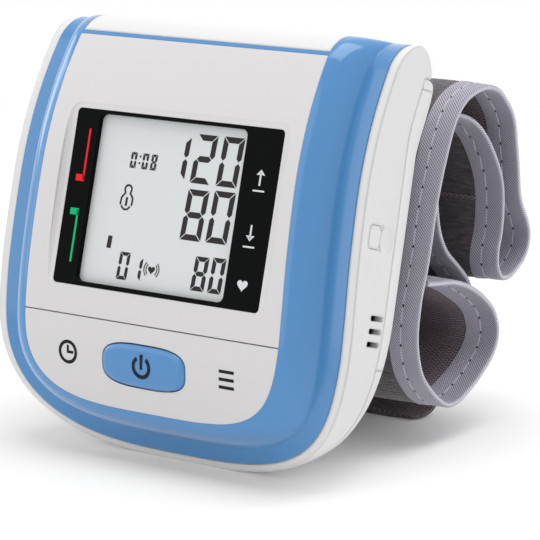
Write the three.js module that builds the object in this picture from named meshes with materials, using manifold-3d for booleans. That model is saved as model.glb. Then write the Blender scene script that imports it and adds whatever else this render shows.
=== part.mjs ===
// Wrist blood pressure monitor, standing on its base and its cuff's tail. Millimetres, +Z up.
// The case is built in its own frame: x to its right, y from the face to the back, z up the face,
// with the origin in the middle of the display window. The cuff is built in the upright frame.

import * as THREE from "three";
import { mergeVertices } from "three/addons/utils/BufferGeometryUtils.js";
import Module from "manifold-3d";

const wasm = await Module();
wasm.setup();

// Driving dimensions of the case
const caseHalfWidth = 38.9; // at its widest, level with the start of the round corners
const sideTaper = 1.1; // each side leans in by this much up to the top edge
const cornerStartZ = -14;
const caseBottomZ = -44.3;
const cornerPower = 3;
const innerCornerPower = 3.9;
const leanAngle = THREE.MathUtils.degToRad(15.05);

// The face seen from the side: a convex front, a rolled brow above it and a chin below it
const faceApexY = -0.85;
const faceApexZ = 5;
const faceUpperRadius = 65;
const faceLowerRadius = 190;
const browStartZ = 28.5;
const browRadius = 8.5;
const chinStartZ = -24;
const chinRadius = 36;

// Insets from the outline to the lines on the front, and how deep those lines lie behind the face
const rimInset = 2.3;
const rimDepth = 5.4;
const rimEdgeDrop = 0.6;
const valleyInset = 5.4;
const valleyDepth = 5.7;
const faceInset = 10.9;
const bottomInsetShare = 0.73; // insets are narrower along the bottom than along the sides

// Walls and clearances
const wall = 1.8;
const panelWall = 1.8;
const gap = 0.3;
const overrun = 2;
const cutDepth = 8; // length of a cutter through one wall

// Steps of the facets, and the sides of round bars
const arcSegments = 4;
const browSteps = 4;
const sideSteps = 6;
const chinSteps = 9;
const cornerSteps = 30;
const seamSteps = 18;
const groundSteps = 60;
const hoseSteps = 12;
const barSides = 24;
const pinSides = 16;
const shankSides = 12;
const weldDistance = 1e-4;
const quarterTurn = Math.PI / 2;

// Back of the case: the seam between the housing and the back cover, and the raised back
const seamY = 16.3;
const seamTopRise = 3.2;
const seamTopStartZ = 18;
const seamMargin = 1.2; // least side wall behind the rim
const crownZ = 28.6; // the back cover's top edge, under the rounded crown of the housing
const crownRadius = 5.5;
const crownBackY = 20.4;
const backY = 33.5;
const backHalfWidth = 29.3;
const backTopZ = 27.5;
const backBottomZ = -27;
const backTopCorner = 6;
const backBottomCorner = 14;
const backEdgeRound = 2.2;
const flankBulge = 1.35; // above 1 the flanks swell between the seam and the raised back
const baseFlat = 0.5;

// Display
const windowWidth = 45.1;
const windowHeight = 31.5;
const windowOffsetX = 0.6;
const windowCorner = 0.8;
const windowThickness = 1.1;
const windowFrontY = 0.25;
const pocketMargin = 1.6;
const lcdWidth = 36;
const lcdHeight = 30.5;
const lcdThickness = 1.8;
const lcdWall = 1.2;
const lcdLip = 0.9;
const connectorHeight = 2;

// Keys
const seamZ = -21.1; // between the screen panel and the key panel
const seamGap = 0.35;
const buttonX = -0.6;
const buttonWidth = 18.1;
const buttonHeight = 7.4;
const buttonZ = -28.2;
const buttonPower = 3.2;
const buttonProud = 0.5;
const buttonTravel = 0.5;
const keyX = 17.2;
const rockAngle = THREE.MathUtils.degToRad(0.6);
const keyRibRadius = 1.5;
const switchSize = 3;
const switchBody = 1.6;
const plungerRadius = 1;
const plungerHeight = 0.7;

// Boards and what they carry
const boardY = 7.5;
const boardThickness = 1.2;
const boardHalfWidth = 24.6;
const boardTopZ = 26;
const boardBottomZ = -31.8;
const boardCorner = 5;
const chassisThickness = 1.9;
const chassisBottomZ = -28.1;
const bossRadius = 3.1;
const screwHeadRadius = 2;
const screwShankRadius = 1.1;
const screwHeadHeight = 1.4;
const screwLength = 9;
const postX = 21;
const postTopZ = 20.8;
const postBottomZ = -22.4;
const innerPostX = 8.2;

// Two cells side by side under the door in the right flank
const cellRadius = 5.2;
const cellLength = 43;
const cellNub = 1.9;
const cellNubHeight = 0.8;
const cellBottomZ = -21;
const outerCellX = 26.8;
const outerCellY = 18.9;
const innerCellX = 18.5;
const innerCellY = 25.6;
const doorTopZ = 26.6;
const doorBottomZ = -22.4;
const doorEdgeX = 28.2;
const contactThickness = 0.5;
const contactSize = 5.5;
const trayWall = 1.2;
const trayEndRoom = 1.4;

// Latch tongue of the door and the finger scoop beside it, in the right side wall
const latchFrontY = 7.2;
const latchNeckY = 13.4;
const latchHeight = 4;
const latchNeckHeight = 5.4;
const latchZ = 0;
const latchCorner = 0.8;
const ventWidth = 4.3;
const ventHeight = 1;
const ventCorner = 0.25;
const ventPitch = 2.25;
const ventY = 13;
const ventZ = -15.9;
const ventCount = 3;

// Air system
const motorRadius = 8;
const motorLength = 15;
const motorX = -12;
const motorY = 19;
const motorBottomZ = -8;
const headSize = 17;
const headLength = 10;
const portRadius = 1.5;
const portLength = 3;
const valveSize = 9.5;
const valveLength = 14;
const valveX = -14;
const valveZ = -14;
const hoseRadius = 2.3;
const hoseBore = 1.75;
const sensorSize = 7.5;
const sensorHeight = 4.5;
const sensorX = 3;
const sensorZ = -24.5;
const manifoldSize = 7;
const manifoldX = 4;
const manifoldTopZ = -3;
const manifoldHeight = 14;
const buzzerRadius = 5.8;
const buzzerHeight = 4;
const buzzerX = -8;
const buzzerZ = -25.8;
const chipSize = 12;
const chipHeight = 1;
const chipZ = 4;

// Cuff: one band of two cloths, its air bladder and the taped edges
const clothThickness = 0.9;
const skinThickness = 0.8;
const bladderThickness = 1.4;
const bladderHalfWidth = 25;
const cuffHalfWidth = 33;
const legHalfWidth = 28;
const tailHalfWidth = 20;
const tailRound = 6;
const bandSteps = 104;
const bindingWidth = 1.6;
const bindingEndShare = 0.93; // the tail beyond it is bare cloth
const plateThickness = 2;
const plateHalfWidth = 24;
const plateTopZ = 13;
const plateBottomZ = -9.5;
const plateCorner = 6;

const colours = {
  white: { color: 0xe4e4e6, roughness: 0.35 },
  blue: { color: 0x5f9ad6, roughness: 0.18 },
  black: { color: 0x0f1412, roughness: 0.1 },
  liquidCrystal: { color: 0xc9d1d3, roughness: 0.25 },
  darkPlastic: { color: 0x33363a, roughness: 0.5 },
  greyPlastic: { color: 0x9a9ca0, roughness: 0.5 },
  board: { color: 0x1f6b45, roughness: 0.55 },
  steel: { color: 0xb8bbc0, roughness: 0.3, metalness: 1 },
  cell: { color: 0x3c4a58, roughness: 0.35, metalness: 0.4 },
  rubber: { color: 0x2a2a2c, roughness: 0.8 },
  clearTube: { color: 0xd8dcd6, roughness: 0.4 },
  brushedCloth: { color: 0x565256, roughness: 0.95 },
  wovenCloth: { color: 0x6b5f64, roughness: 0.95 },
  tape: { color: 0x9b99a6, roughness: 0.85 },
};

const materials = Object.fromEntries(
  Object.entries(colours).map(([name, look]) => [name, new THREE.MeshStandardMaterial(look)]),
);

// Turns a closed geometry into a solid that can be cut and joined
function solid(geometry) {
  const bare = geometry.index ? geometry.toNonIndexed() : geometry.clone();
  bare.deleteAttribute("normal");
  bare.deleteAttribute("uv");
  const merged = mergeVertices(bare, weldDistance);
  return new wasm.Manifold(
    new wasm.Mesh({
      numProp: 3,
      vertProperties: new Float32Array(merged.attributes.position.array),
      triVerts: new Uint32Array(merged.index.array),
    }),
  );
}

function geometryOf(body) {
  const m = body.getMesh();
  const positions = new Float32Array(m.numVert * 3);
  for (let i = 0; i < m.numVert; i++) {
    positions.set(m.vertProperties.subarray(i * m.numProp, i * m.numProp + 3), i * 3);
  }
  const geometry = new THREE.BufferGeometry();
  geometry.setAttribute("position", new THREE.BufferAttribute(positions, 3));
  geometry.setIndex(new THREE.BufferAttribute(new Uint32Array(m.triVerts), 1));
  geometry.computeVertexNormals();
  return geometry;
}

const caseGroup = new THREE.Group();
const cuffGroup = new THREE.Group();

function addPiece(group, name, body, material) {
  const geometry = body.isBufferGeometry ? body : geometryOf(body);
  const mesh = new THREE.Mesh(geometry, materials[material]);
  mesh.name = name;
  group.add(mesh);
  return mesh;
}

const joinAll = (bodies) => bodies.reduce((whole, body) => whole.add(body));
const cutAll = (body, cutters) => cutters.reduce((rest, cutter) => rest.subtract(cutter), body);

// An outline in x and z, from y0 back to y1
function slabY(shape, y0, y1, bevel = 0) {
  const geometry = new THREE.ExtrudeGeometry(shape, {
    depth: y1 - y0 - 2 * bevel,
    bevelEnabled: bevel > 0,
    bevelThickness: bevel,
    bevelSize: bevel,
    bevelOffset: -bevel,
    bevelSegments: 1,
    curveSegments: arcSegments,
  });
  geometry.applyMatrix4(
    new THREE.Matrix4()
      .makeBasis(new THREE.Vector3(1, 0, 0), new THREE.Vector3(0, 0, 1), new THREE.Vector3(0, -1, 0))
      .setPosition(0, y1 - bevel, 0),
  );
  return solid(geometry);
}

// An outline in y and z, from x0 across to x1
function slabX(shape, x0, x1, bevel = 0) {
  const geometry = new THREE.ExtrudeGeometry(shape, {
    depth: x1 - x0 - 2 * bevel,
    bevelEnabled: bevel > 0,
    bevelThickness: bevel,
    bevelSize: bevel,
    bevelOffset: -bevel,
    bevelSegments: 1,
    curveSegments: arcSegments,
  });
  geometry.applyMatrix4(
    new THREE.Matrix4()
      .makeBasis(new THREE.Vector3(0, 1, 0), new THREE.Vector3(0, 0, 1), new THREE.Vector3(1, 0, 0))
      .setPosition(x0 + bevel, 0, 0),
  );
  return solid(geometry);
}

// An outline in x and y, from z0 up to z1
function slabZ(shape, z0, z1) {
  const geometry = new THREE.ExtrudeGeometry(shape, {
    depth: z1 - z0,
    bevelEnabled: false,
    curveSegments: arcSegments,
  });
  return solid(geometry.translate(0, 0, z0));
}

function roundedRectangle(x0, z0, x1, z1, radius) {
  const r = Math.min(radius, (x1 - x0) / 2, (z1 - z0) / 2);
  const shape = new THREE.Shape();
  shape.moveTo(x0 + r, z0);
  shape.lineTo(x1 - r, z0);
  shape.absarc(x1 - r, z0 + r, r, -quarterTurn, 0);
  shape.lineTo(x1, z1 - r);
  shape.absarc(x1 - r, z1 - r, r, 0, quarterTurn);
  shape.lineTo(x0 + r, z1);
  shape.absarc(x0 + r, z1 - r, r, quarterTurn, 2 * quarterTurn);
  shape.lineTo(x0, z0 + r);
  shape.absarc(x0 + r, z0 + r, r, 2 * quarterTurn, 3 * quarterTurn);
  return shape;
}

function blockAt(x, y, z, width, depth, height) {
  return solid(new THREE.BoxGeometry(width, depth, height).translate(x, y, z));
}

// A round bar along an axis, from one end to the other
function bar(axis, x, y, z, radius, length, sides = barSides) {
  const geometry = new THREE.CylinderGeometry(radius, radius, length, sides);
  if (axis === "x") geometry.rotateZ(quarterTurn);
  if (axis === "z") geometry.rotateX(quarterTurn);
  return solid(geometry.translate(x, y, z));
}

// Closed skin through rings of points with equal counts. Its ends are closed by the given
// triangles, or by fans round their middles.
function skin(rings, capTriangles = null) {
  const count = rings[0].length;
  const positions = rings.flat(2);
  const index = [];
  for (let r = 0; r < rings.length - 1; r++) {
    for (let i = 0; i < count; i++) {
      const j = (i + 1) % count;
      const a = r * count + i;
      const b = r * count + j;
      index.push(a, b, b + count, a, b + count, a + count);
    }
  }
  const last = (rings.length - 1) * count;
  if (capTriangles) {
    for (const [a, b, c] of capTriangles) {
      index.push(c, b, a, last + a, last + b, last + c);
    }
  } else {
    const first = rings.length * count;
    for (const ring of [rings[0], rings[rings.length - 1]]) {
      const sum = ring.reduce((total, point) => total.map((value, k) => value + point[k]));
      positions.push(...sum.map((value) => value / count));
    }
    for (let i = 0; i < count; i++) {
      const j = (i + 1) % count;
      index.push(first, j, i, first + 1, last + i, last + j);
    }
  }
  const geometry = new THREE.BufferGeometry();
  geometry.setAttribute("position", new THREE.BufferAttribute(new Float32Array(positions), 3));
  geometry.setIndex(index);
  let body = solid(geometry);
  if (body.volume() < 0) {
    const turned = [];
    for (let i = 0; i < index.length; i += 3) turned.push(index[i], index[i + 2], index[i + 1]);
    geometry.setIndex(turned);
    body = solid(geometry);
  }
  return body;
}

// Triangles that close a ring of points, wound the way the ring runs
function capOf(section) {
  const points = section.map(([u, v]) => new THREE.Vector2(u, v));
  const turned = THREE.ShapeUtils.isClockWise(points);
  return THREE.ShapeUtils.triangulateShape(points, []).map(([a, b, c]) => {
    const clockwise = THREE.ShapeUtils.isClockWise([points[a], points[b], points[c]]);
    return clockwise === turned ? [a, b, c] : [a, c, b];
  });
}

// The face seen from the side: each height gives a depth and the direction out of the face
function arcStart(radius, z) {
  const sine = Math.abs(z - faceApexZ) / radius;
  const cosine = Math.sqrt(1 - sine * sine);
  return { sine, cosine, y: faceApexY + radius * (1 - cosine) };
}

const brow = arcStart(faceUpperRadius, browStartZ);
const browCentreY = brow.y + browRadius * brow.cosine;
const browCentreZ = browStartZ - browRadius * brow.sine;
const caseTopZ = browCentreZ + browRadius;
const chin = arcStart(faceLowerRadius, chinStartZ);
const chinCentreY = chin.y + chinRadius * chin.cosine;
const chinCentreZ = chinStartZ + chinRadius * chin.sine;

function facePoint(z) {
  if (z > browStartZ) {
    const sine = Math.min(1, (z - browCentreZ) / browRadius);
    const cosine = Math.sqrt(1 - sine * sine);
    return { y: browCentreY - browRadius * cosine, z, outY: -cosine, outZ: sine };
  }
  if (z < chinStartZ) {
    const sine = Math.min(1, (chinCentreZ - z) / chinRadius);
    const cosine = Math.sqrt(1 - sine * sine);
    return { y: chinCentreY - chinRadius * cosine, z, outY: -cosine, outZ: -sine };
  }
  const radius = z > faceApexZ ? faceUpperRadius : faceLowerRadius;
  const sine = (z - faceApexZ) / radius;
  const cosine = Math.sqrt(1 - sine * sine);
  return { y: faceApexY + radius * (1 - cosine), z, outY: -cosine, outZ: sine };
}

const spread = (from, to, steps) =>
  Array.from({ length: steps + 1 }, (_, i) => from + ((to - from) * i) / steps);

// Heights along the face, denser where it bends
const browHeights = spread(Math.asin(brow.sine), quarterTurn, browSteps).map(
  (angle) => browCentreZ + browRadius * Math.sin(angle),
);
const sideHeights = [...spread(cornerStartZ, browStartZ, sideSteps), ...browHeights.slice(1)];
const chinHeights = spread(caseBottomZ, cornerStartZ, chinSteps).slice(0, -1);
const faceHeights = [...chinHeights, ...sideHeights];

// A layer that follows the face between two depths, as an outline in y and z
function faceLayer(front, back, z0, z1, topY = null) {
  const heights = faceHeights.filter((z) => z > z0 && z < z1);
  const spots = [z0, ...heights, Math.min(z1, caseTopZ)].map(facePoint);
  const line = spots.map((p) => [p.y - p.outY * front, p.z - p.outZ * front]);
  const inner = spots.map((p) => [p.y - p.outY * back, p.z - p.outZ * back]);
  if (topY !== null) {
    line.push([topY, caseTopZ - front]);
    inner.push([topY, caseTopZ - back]);
  }
  return new THREE.Shape([...line, ...inner.reverse()].map(([y, z]) => new THREE.Vector2(y, z)));
}

// Everything behind a line that lies a depth behind the face, up to a far depth
function behindFace(depth, farY) {
  const line = faceHeights.map(facePoint).map((p) => new THREE.Vector2(p.y + depth, p.z));
  const top = caseTopZ + overrun;
  const bottom = caseBottomZ - overrun;
  return new THREE.Shape([
    new THREE.Vector2(line[0].x, bottom),
    ...line,
    new THREE.Vector2(line[line.length - 1].x, top),
    new THREE.Vector2(farY, top),
    new THREE.Vector2(farY, bottom),
  ]);
}

// The case's outline from the front, a distance in from its widest line
function halfWidthAt(inset, z) {
  const rise = Math.max(0, (z - cornerStartZ) / (caseTopZ - cornerStartZ));
  return caseHalfWidth - inset - sideTaper * rise;
}

function cornerLine(inset, steps) {
  const power = cornerPower + ((innerCornerPower - cornerPower) * inset) / faceInset;
  const drop = cornerStartZ - caseBottomZ - inset * bottomInsetShare;
  return spread(0, Math.PI, steps).map((angle) => {
    const across = Math.cos(angle);
    const down = Math.sin(angle);
    return [
      halfWidthAt(inset, cornerStartZ) * Math.sign(across) * Math.abs(across) ** (2 / power),
      cornerStartZ - drop * Math.abs(down) ** (2 / power),
    ];
  });
}

function outlineShape(inset, topZ = caseTopZ) {
  const corner = cornerLine(inset, cornerSteps);
  const right = [halfWidthAt(inset, topZ), topZ];
  return new THREE.Shape(
    [right, ...corner, [-right[0], topZ]].map(([x, z]) => new THREE.Vector2(x, z)),
  );
}

// The blue surround: one moulded strip whose section follows the outline and rolls over the brow
const bezelWall = 1.6;
const ledgeWidth = 1.7;
const ledgeInset = faceInset + ledgeWidth;
const ledgeGap = 0.55; // room for the key panel to rock
const ledgeFront = panelWall + ledgeGap;
const bezelTopEndY = browCentreY + valleyDepth;

// The roll of the surround over its outside and back along its inside, as shares of the way from
// the valley out to the face and of the valley's depth
const rollShares = [[1, 0], [0.73, 0.06], [0.47, 0.23], [0.25, 0.49], [0.09, 0.79], [0, 1]];
const rollBackShares = [[0.22, 0.95], [0.36, 0.67], [0.58, 0.4], [0.84, 0.3]];
const rollAt = ([out, down]) =>
  [valleyInset + out * (faceInset - valleyInset), down * valleyDepth];
const bezelSection = [
  ...rollShares.map((share) => [...rollAt(share), 0]),
  [rimInset + gap, rimDepth, 0],
  [rimInset + gap, rimDepth, bezelWall],
  ...rollBackShares.map((share) => [...rollAt(share), bezelWall]),
  [ledgeInset, 0, ledgeFront + bezelWall],
  [ledgeInset, 0, ledgeFront],
  [faceInset, 0, ledgeFront],
];

// Stations up the right side, from the corner's start to the back end on top
function bezelRing(side, place, section) {
  return section.map(([inset, depth, under]) => {
    const p = place.flat ? { y: place.y, z: caseTopZ, outY: 0, outZ: 1 } : facePoint(place.z);
    const x = side * halfWidthAt(inset, p.z);
    const y = place.flat ? Math.max(p.y, browCentreY + depth) : p.y + depth;
    return [x, y - p.outY * under, p.z - p.outZ * under];
  });
}

function bezelCornerRing(step, section) {
  return section.map(([inset, depth, under]) => {
    const [x, z] = cornerLine(inset, cornerSteps)[step];
    return [x, facePoint(z).y + depth + under, z];
  });
}

function makeBezel(section, endY) {
  const sideStations = [{ flat: true, y: endY }, ...[...sideHeights].reverse().map((z) => ({ z }))];
  const right = sideStations.slice(0, -1).map((place) => bezelRing(1, place, section));
  const corner = spread(0, cornerSteps, cornerSteps).map((s) => bezelCornerRing(s, section));
  const left = [...sideStations.slice(0, -1)].reverse().map((p) => bezelRing(-1, p, section));
  const cap = capOf(section.map(([inset, depth, under]) => [inset, depth + under]));
  return skin([...right, ...corner, ...left], cap);
}

const bridgeBottomZ = browStartZ + 1;
const bridgeHeight = 0.7;
const bridgeDepth = ledgeFront + bezelWall;
const panelHalfWidthTop = halfWidthAt(faceInset, bridgeBottomZ);

const bezelBridge = slabX(
  faceLayer(0, bridgeDepth, bridgeBottomZ, bridgeBottomZ + bridgeHeight),
  -panelHalfWidthTop - gap,
  panelHalfWidthTop + gap,
);
const bezel = makeBezel(bezelSection, bezelTopEndY).add(bezelBridge);

// White screen panel with the flat pocket for the window
const windowLeft = windowOffsetX - windowWidth / 2;
const windowRight = windowOffsetX + windowWidth / 2;
const windowShape = roundedRectangle(
  windowLeft,
  -windowHeight / 2,
  windowRight,
  windowHeight / 2,
  windowCorner,
);
const windowHole = roundedRectangle(
  windowLeft - gap,
  -windowHeight / 2 - gap,
  windowRight + gap,
  windowHeight / 2 + gap,
  windowCorner + gap,
);
const pocketShape = roundedRectangle(
  windowLeft - pocketMargin,
  -windowHeight / 2 - pocketMargin,
  windowRight + pocketMargin,
  windowHeight / 2 + pocketMargin,
  windowCorner + pocketMargin,
);
const faceClip = slabY(outlineShape(faceInset + gap), faceApexY - overrun, backY);
const screenPanel = cutAll(
  slabX(
    faceLayer(0, panelWall, seamZ + seamGap / 2, bridgeBottomZ - gap),
    -caseHalfWidth,
    caseHalfWidth,
  ).intersect(faceClip),
  [
    slabY(pocketShape, faceApexY - overrun, windowFrontY, pocketMargin / 3),
    slabY(windowHole, faceApexY - overrun, backY),
  ],
);
addPiece(caseGroup, "screen_panel", screenPanel, "white");

// White key panel: it rocks about its middle to press the clock key or the memory key
const buttonOutline = (margin) => {
  const steps = 28;
  return new THREE.Shape(
    spread(0, 2 * Math.PI, steps)
      .slice(0, -1)
      .map((angle) => {
        const across = Math.cos(angle);
        const up = Math.sin(angle);
        return new THREE.Vector2(
          buttonX +
            (buttonWidth / 2 + margin) * Math.sign(across) * Math.abs(across) ** (2 / buttonPower),
          buttonZ +
            (buttonHeight / 2 + margin) * Math.sign(up) * Math.abs(up) ** (2 / buttonPower),
        );
      }),
  );
};
const keyFaceY = facePoint(buttonZ).y;
const keyBackY = keyFaceY + panelWall;
const plungerTipY = boardY - switchBody - plungerHeight;
const keyPressGap = keyX * Math.sin(rockAngle) + gap / 2;
const keyRibEndY = plungerTipY - keyPressGap;
const keyRib = (x) =>
  bar("y", x, (keyFaceY + panelWall / 2 + keyRibEndY) / 2, buttonZ, keyRibRadius,
    keyRibEndY - keyFaceY - panelWall / 2, pinSides);
const pivotRadius = 0.9;
const pivotLength = 2;
const pivotY = keyBackY + pivotRadius + gap;
const pivotDrop = 2.2;
const pivotZ = seamZ - pivotDrop;
const pivotNeck = blockAt(0, (keyFaceY + pivotY) / 2, pivotZ, 2 * pivotRadius,
  pivotY - keyFaceY - pivotRadius / 2, pivotLength);
const keyPanel = joinAll([
  slabX(
    faceLayer(0, panelWall, caseBottomZ, seamZ - seamGap / 2),
    -caseHalfWidth,
    caseHalfWidth,
  ).intersect(faceClip),
  keyRib(-keyX),
  keyRib(keyX),
  pivotNeck,
  bar("z", 0, pivotY, pivotZ, pivotRadius, pivotLength, pinSides),
]).subtract(slabY(buttonOutline(gap), faceApexY - overrun, keyBackY + overrun));
addPiece(caseGroup, "key_panel", keyPanel, "white");

// Power button: a domed cap, a flange under the panel and a stem over its switch
const buttonFlange = 0.9;
const flangeDepth = 0.5;
const flangeY = facePoint(buttonZ - buttonHeight / 2 - buttonFlange).y + panelWall + 2 * gap;
const buttonCap = slabY(buttonOutline(0), faceApexY, flangeY + flangeDepth)
  .intersect(
    slabX(
      faceLayer(-buttonProud, flangeY + flangeDepth, caseBottomZ, seamZ),
      -buttonWidth,
      buttonWidth,
    ),
  )
  .subtract(
    slabY(buttonOutline(-wall), keyFaceY + wall / 2, flangeY + flangeDepth + overrun),
  );
const powerButton = joinAll([
  buttonCap,
  slabY(buttonOutline(buttonFlange), flangeY, flangeY + flangeDepth).subtract(
    slabY(buttonOutline(-wall), flangeY - overrun, flangeY + flangeDepth + overrun),
  ),
  bar("y", 0, (keyFaceY + plungerTipY - buttonTravel - gap / 2) / 2, buttonZ, keyRibRadius,
    plungerTipY - buttonTravel - gap / 2 - keyFaceY, pinSides),
]);
addPiece(caseGroup, "power_button", powerButton, "blue");

// Display stack
const lens = slabY(windowShape, windowFrontY, windowFrontY + windowThickness);
addPiece(caseGroup, "display_window", lens, "black");
const lcdFrontY = windowFrontY + windowThickness + gap;
const lcdBackY = lcdFrontY + lcdThickness;
const lcdPlate = (margin) =>
  roundedRectangle(-lcdWidth / 2 - margin, -lcdHeight / 2 - margin, lcdWidth / 2 + margin,
    lcdHeight / 2 + margin, gap + Math.max(0, margin));
addPiece(caseGroup, "lcd_glass", slabY(lcdPlate(0), lcdFrontY, lcdBackY), "liquidCrystal");
const holderBackY = lcdBackY + gap + lcdWall;
const holderTab = 3;
const lcdHolder = slabY(lcdPlate(gap + lcdWall), lcdFrontY + lcdLip, holderBackY)
  .subtract(slabY(lcdPlate(gap), lcdFrontY - overrun, lcdBackY + gap))
  .subtract(slabY(lcdPlate(-holderTab), lcdFrontY, holderBackY + overrun));
const connectorZ = -lcdHeight / 2 + connectorHeight / 2 + gap;
const connectorCut = blockAt(0, boardY, connectorZ, lcdWidth - 2 * lcdWall + 2 * gap,
  cutDepth, connectorHeight + 2 * gap);

// Chassis: the frame behind the display that the board and the back cover screw on to
const chassisFrontY = holderBackY + gap;
const chassisBackY = chassisFrontY + chassisThickness;
const chassisPlate = (inset, bottomZ, topZ) =>
  roundedRectangle(-boardHalfWidth + inset, bottomZ, boardHalfWidth - inset, topZ, boardCorner);
const buttonRoom = buttonWidth / 2 + Math.abs(buttonX) + buttonFlange + gap;
const roomHeight = seamZ - chassisBottomZ + overrun;
const switchRoom = 2 * switchSize;
const chassis = cutAll(
  slabY(chassisPlate(0, chassisBottomZ, boardTopZ), chassisFrontY, chassisBackY),
  [
    slabY(lcdPlate(-holderTab + 2 * gap), chassisFrontY - overrun, chassisBackY + overrun),
    connectorCut,
    blockAt(0, chassisFrontY, seamZ - roomHeight / 2, 2 * buttonRoom, cutDepth, roomHeight),
    blockAt(-keyX, chassisFrontY, buttonZ, switchRoom, cutDepth, switchRoom),
    blockAt(keyX, chassisFrontY, buttonZ, switchRoom, cutDepth, switchRoom),
  ],
);
const zebra = blockAt(0, (lcdBackY + gap + boardY) / 2, connectorZ, lcdWidth - 2 * lcdWall,
  boardY - lcdBackY - 2 * gap, connectorHeight);
const holderSlot = blockAt(0, holderBackY, connectorZ, lcdWidth - 2 * lcdWall + 2 * gap,
  cutDepth, connectorHeight + 2 * gap);
addPiece(caseGroup, "lcd_holder", lcdHolder.subtract(holderSlot), "greyPlastic");
addPiece(caseGroup, "lcd_connector", zebra, "rubber");

// Main board with its three key switches, chip, sensor and buzzer
const screwSpots = [
  [-postX, postTopZ],
  [innerPostX, postTopZ],
  [-postX, postBottomZ],
];
const screwHoles = screwSpots.map(([x, z]) =>
  bar("y", x, boardY, z, bossRadius + gap, cutDepth));
const board = cutAll(
  slabY(chassisPlate(0, boardBottomZ, boardTopZ), boardY, boardY + boardThickness),
  screwHoles,
);
addPiece(caseGroup, "main_board", board, "board");
const switchFrontY = boardY - gap / 3 - switchBody;
[
  ["clock_key_switch", -keyX],
  ["power_switch", 0],
  ["memory_key_switch", keyX],
].forEach(([name, x]) => {
  const body = joinAll([
    blockAt(x, switchFrontY + switchBody / 2, buttonZ, switchSize, switchBody, switchSize),
    bar("y", x, (plungerTipY + switchFrontY + gap) / 2, buttonZ, plungerRadius,
      switchFrontY + gap - plungerTipY, pinSides),
  ]);
  addPiece(caseGroup, name, body, "darkPlastic");
});
const partsY = boardY + boardThickness + gap / 3;
addPiece(caseGroup, "processor_chip",
  blockAt(0, partsY + chipHeight / 2, chipZ, chipSize, chipHeight, chipSize), "darkPlastic");
const sensorTopY = partsY + sensorHeight;
const sensor = joinAll([
  blockAt(sensorX, partsY + sensorHeight / 2, sensorZ, sensorSize, sensorHeight, sensorSize),
  bar("y", sensorX, sensorTopY + portLength / 2, sensorZ, portRadius, portLength + gap, pinSides),
]);
addPiece(caseGroup, "pressure_sensor", sensor, "greyPlastic");

// Housing: the white rim, the side walls and the top, open at the front and the back
function seamDepth(z) {
  const up = THREE.MathUtils.smoothstep(z, seamTopStartZ, caseTopZ);
  const behindRim = facePoint(z).y + rimDepth + rimEdgeDrop + seamMargin;
  return z > 0 ? seamY + seamTopRise * up : Math.max(seamY, behindRim);
}

function behindSeam(offset, farY) {
  const heights = spread(caseBottomZ - overrun, caseTopZ + overrun, seamSteps);
  const line = heights.map((z) => new THREE.Vector2(seamDepth(z) + offset, z));
  return new THREE.Shape([
    ...line,
    new THREE.Vector2(farY, caseTopZ + overrun),
    new THREE.Vector2(farY, caseBottomZ - overrun),
  ]);
}

const nearFace = faceApexY - overrun;
const farBack = backY + overrun;
const wide = caseHalfWidth + overrun;
const flangeFront = rimDepth + bezelWall + gap;
const flangeWall = 1.4;
const flangeWidth = 2.2;
const flangeInset = valleyInset + flangeWidth;
const crownShape = (inset) => {
  const shape = new THREE.Shape();
  const middleY = crownBackY - crownRadius;
  shape.moveTo(nearFace, caseBottomZ - overrun);
  shape.lineTo(farBack, caseBottomZ - overrun);
  shape.lineTo(farBack, crownZ);
  shape.lineTo(crownBackY - inset, crownZ);
  shape.absarc(middleY, caseTopZ - crownRadius, crownRadius - inset, 0, quarterTurn);
  shape.lineTo(nearFace, caseTopZ - inset);
  return shape;
};
const crownOf = (inset) => slabX(crownShape(inset), -wide, wide);
const belowCrown = blockAt(0, (nearFace + farBack) / 2, crownZ + gap / 2 - caseHalfWidth, 2 * wide,
  farBack - nearFace, 2 * caseHalfWidth);
const housingBlock = slabY(outlineShape(0), nearFace, farBack).intersect(crownOf(0));
const rimFace = slabX(behindFace(rimDepth + rimEdgeDrop / 2, farBack), -wide, wide);
const aheadOfSeam = slabX(behindSeam(-gap / 2, farBack), -wide, wide).intersect(belowCrown);
const bezelPocket = slabY(outlineShape(rimInset, caseTopZ - bezelWall - gap), nearFace, farBack)
  .subtract(slabX(behindFace(flangeFront, farBack), -wide, wide));
const cavity = slabY(outlineShape(wall, caseTopZ - wall), nearFace, farBack)
  .intersect(slabX(behindFace(flangeFront + flangeWall, farBack), -wide, wide))
  .intersect(crownOf(wall));
const frontWay = slabY(outlineShape(flangeInset, caseTopZ - 2 * wall), nearFace, farBack)
  .intersect(crownOf(wall));
const topCap = slabX(
  faceLayer(0, wall, bridgeBottomZ + bridgeHeight + gap, caseTopZ, seamDepth(caseTopZ) - gap),
  -halfWidthAt(faceInset + gap, caseTopZ),
  halfWidthAt(faceInset + gap, caseTopZ),
);
const bandSeat = bezelTopEndY + gap;
const bandRoom = (side, clearance) => {
  const ledge = halfWidthAt(ledgeInset + clearance, caseTopZ);
  const inner = halfWidthAt(faceInset + gap, caseTopZ);
  const outer = halfWidthAt(rimInset, caseTopZ);
  const depth = ledgeFront + bezelWall + clearance;
  const under = wall + gap / 2;
  return blockAt(side * (inner + outer) / 2, bandSeat - depth, caseTopZ, outer - inner,
    2 * depth, 2 * depth).add(
    blockAt(side * (ledge + inner + clearance) / 2, bandSeat - depth,
      caseTopZ - (under + depth) / 2, inner + clearance - ledge, 2 * depth, depth - under),
  );
};

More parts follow.
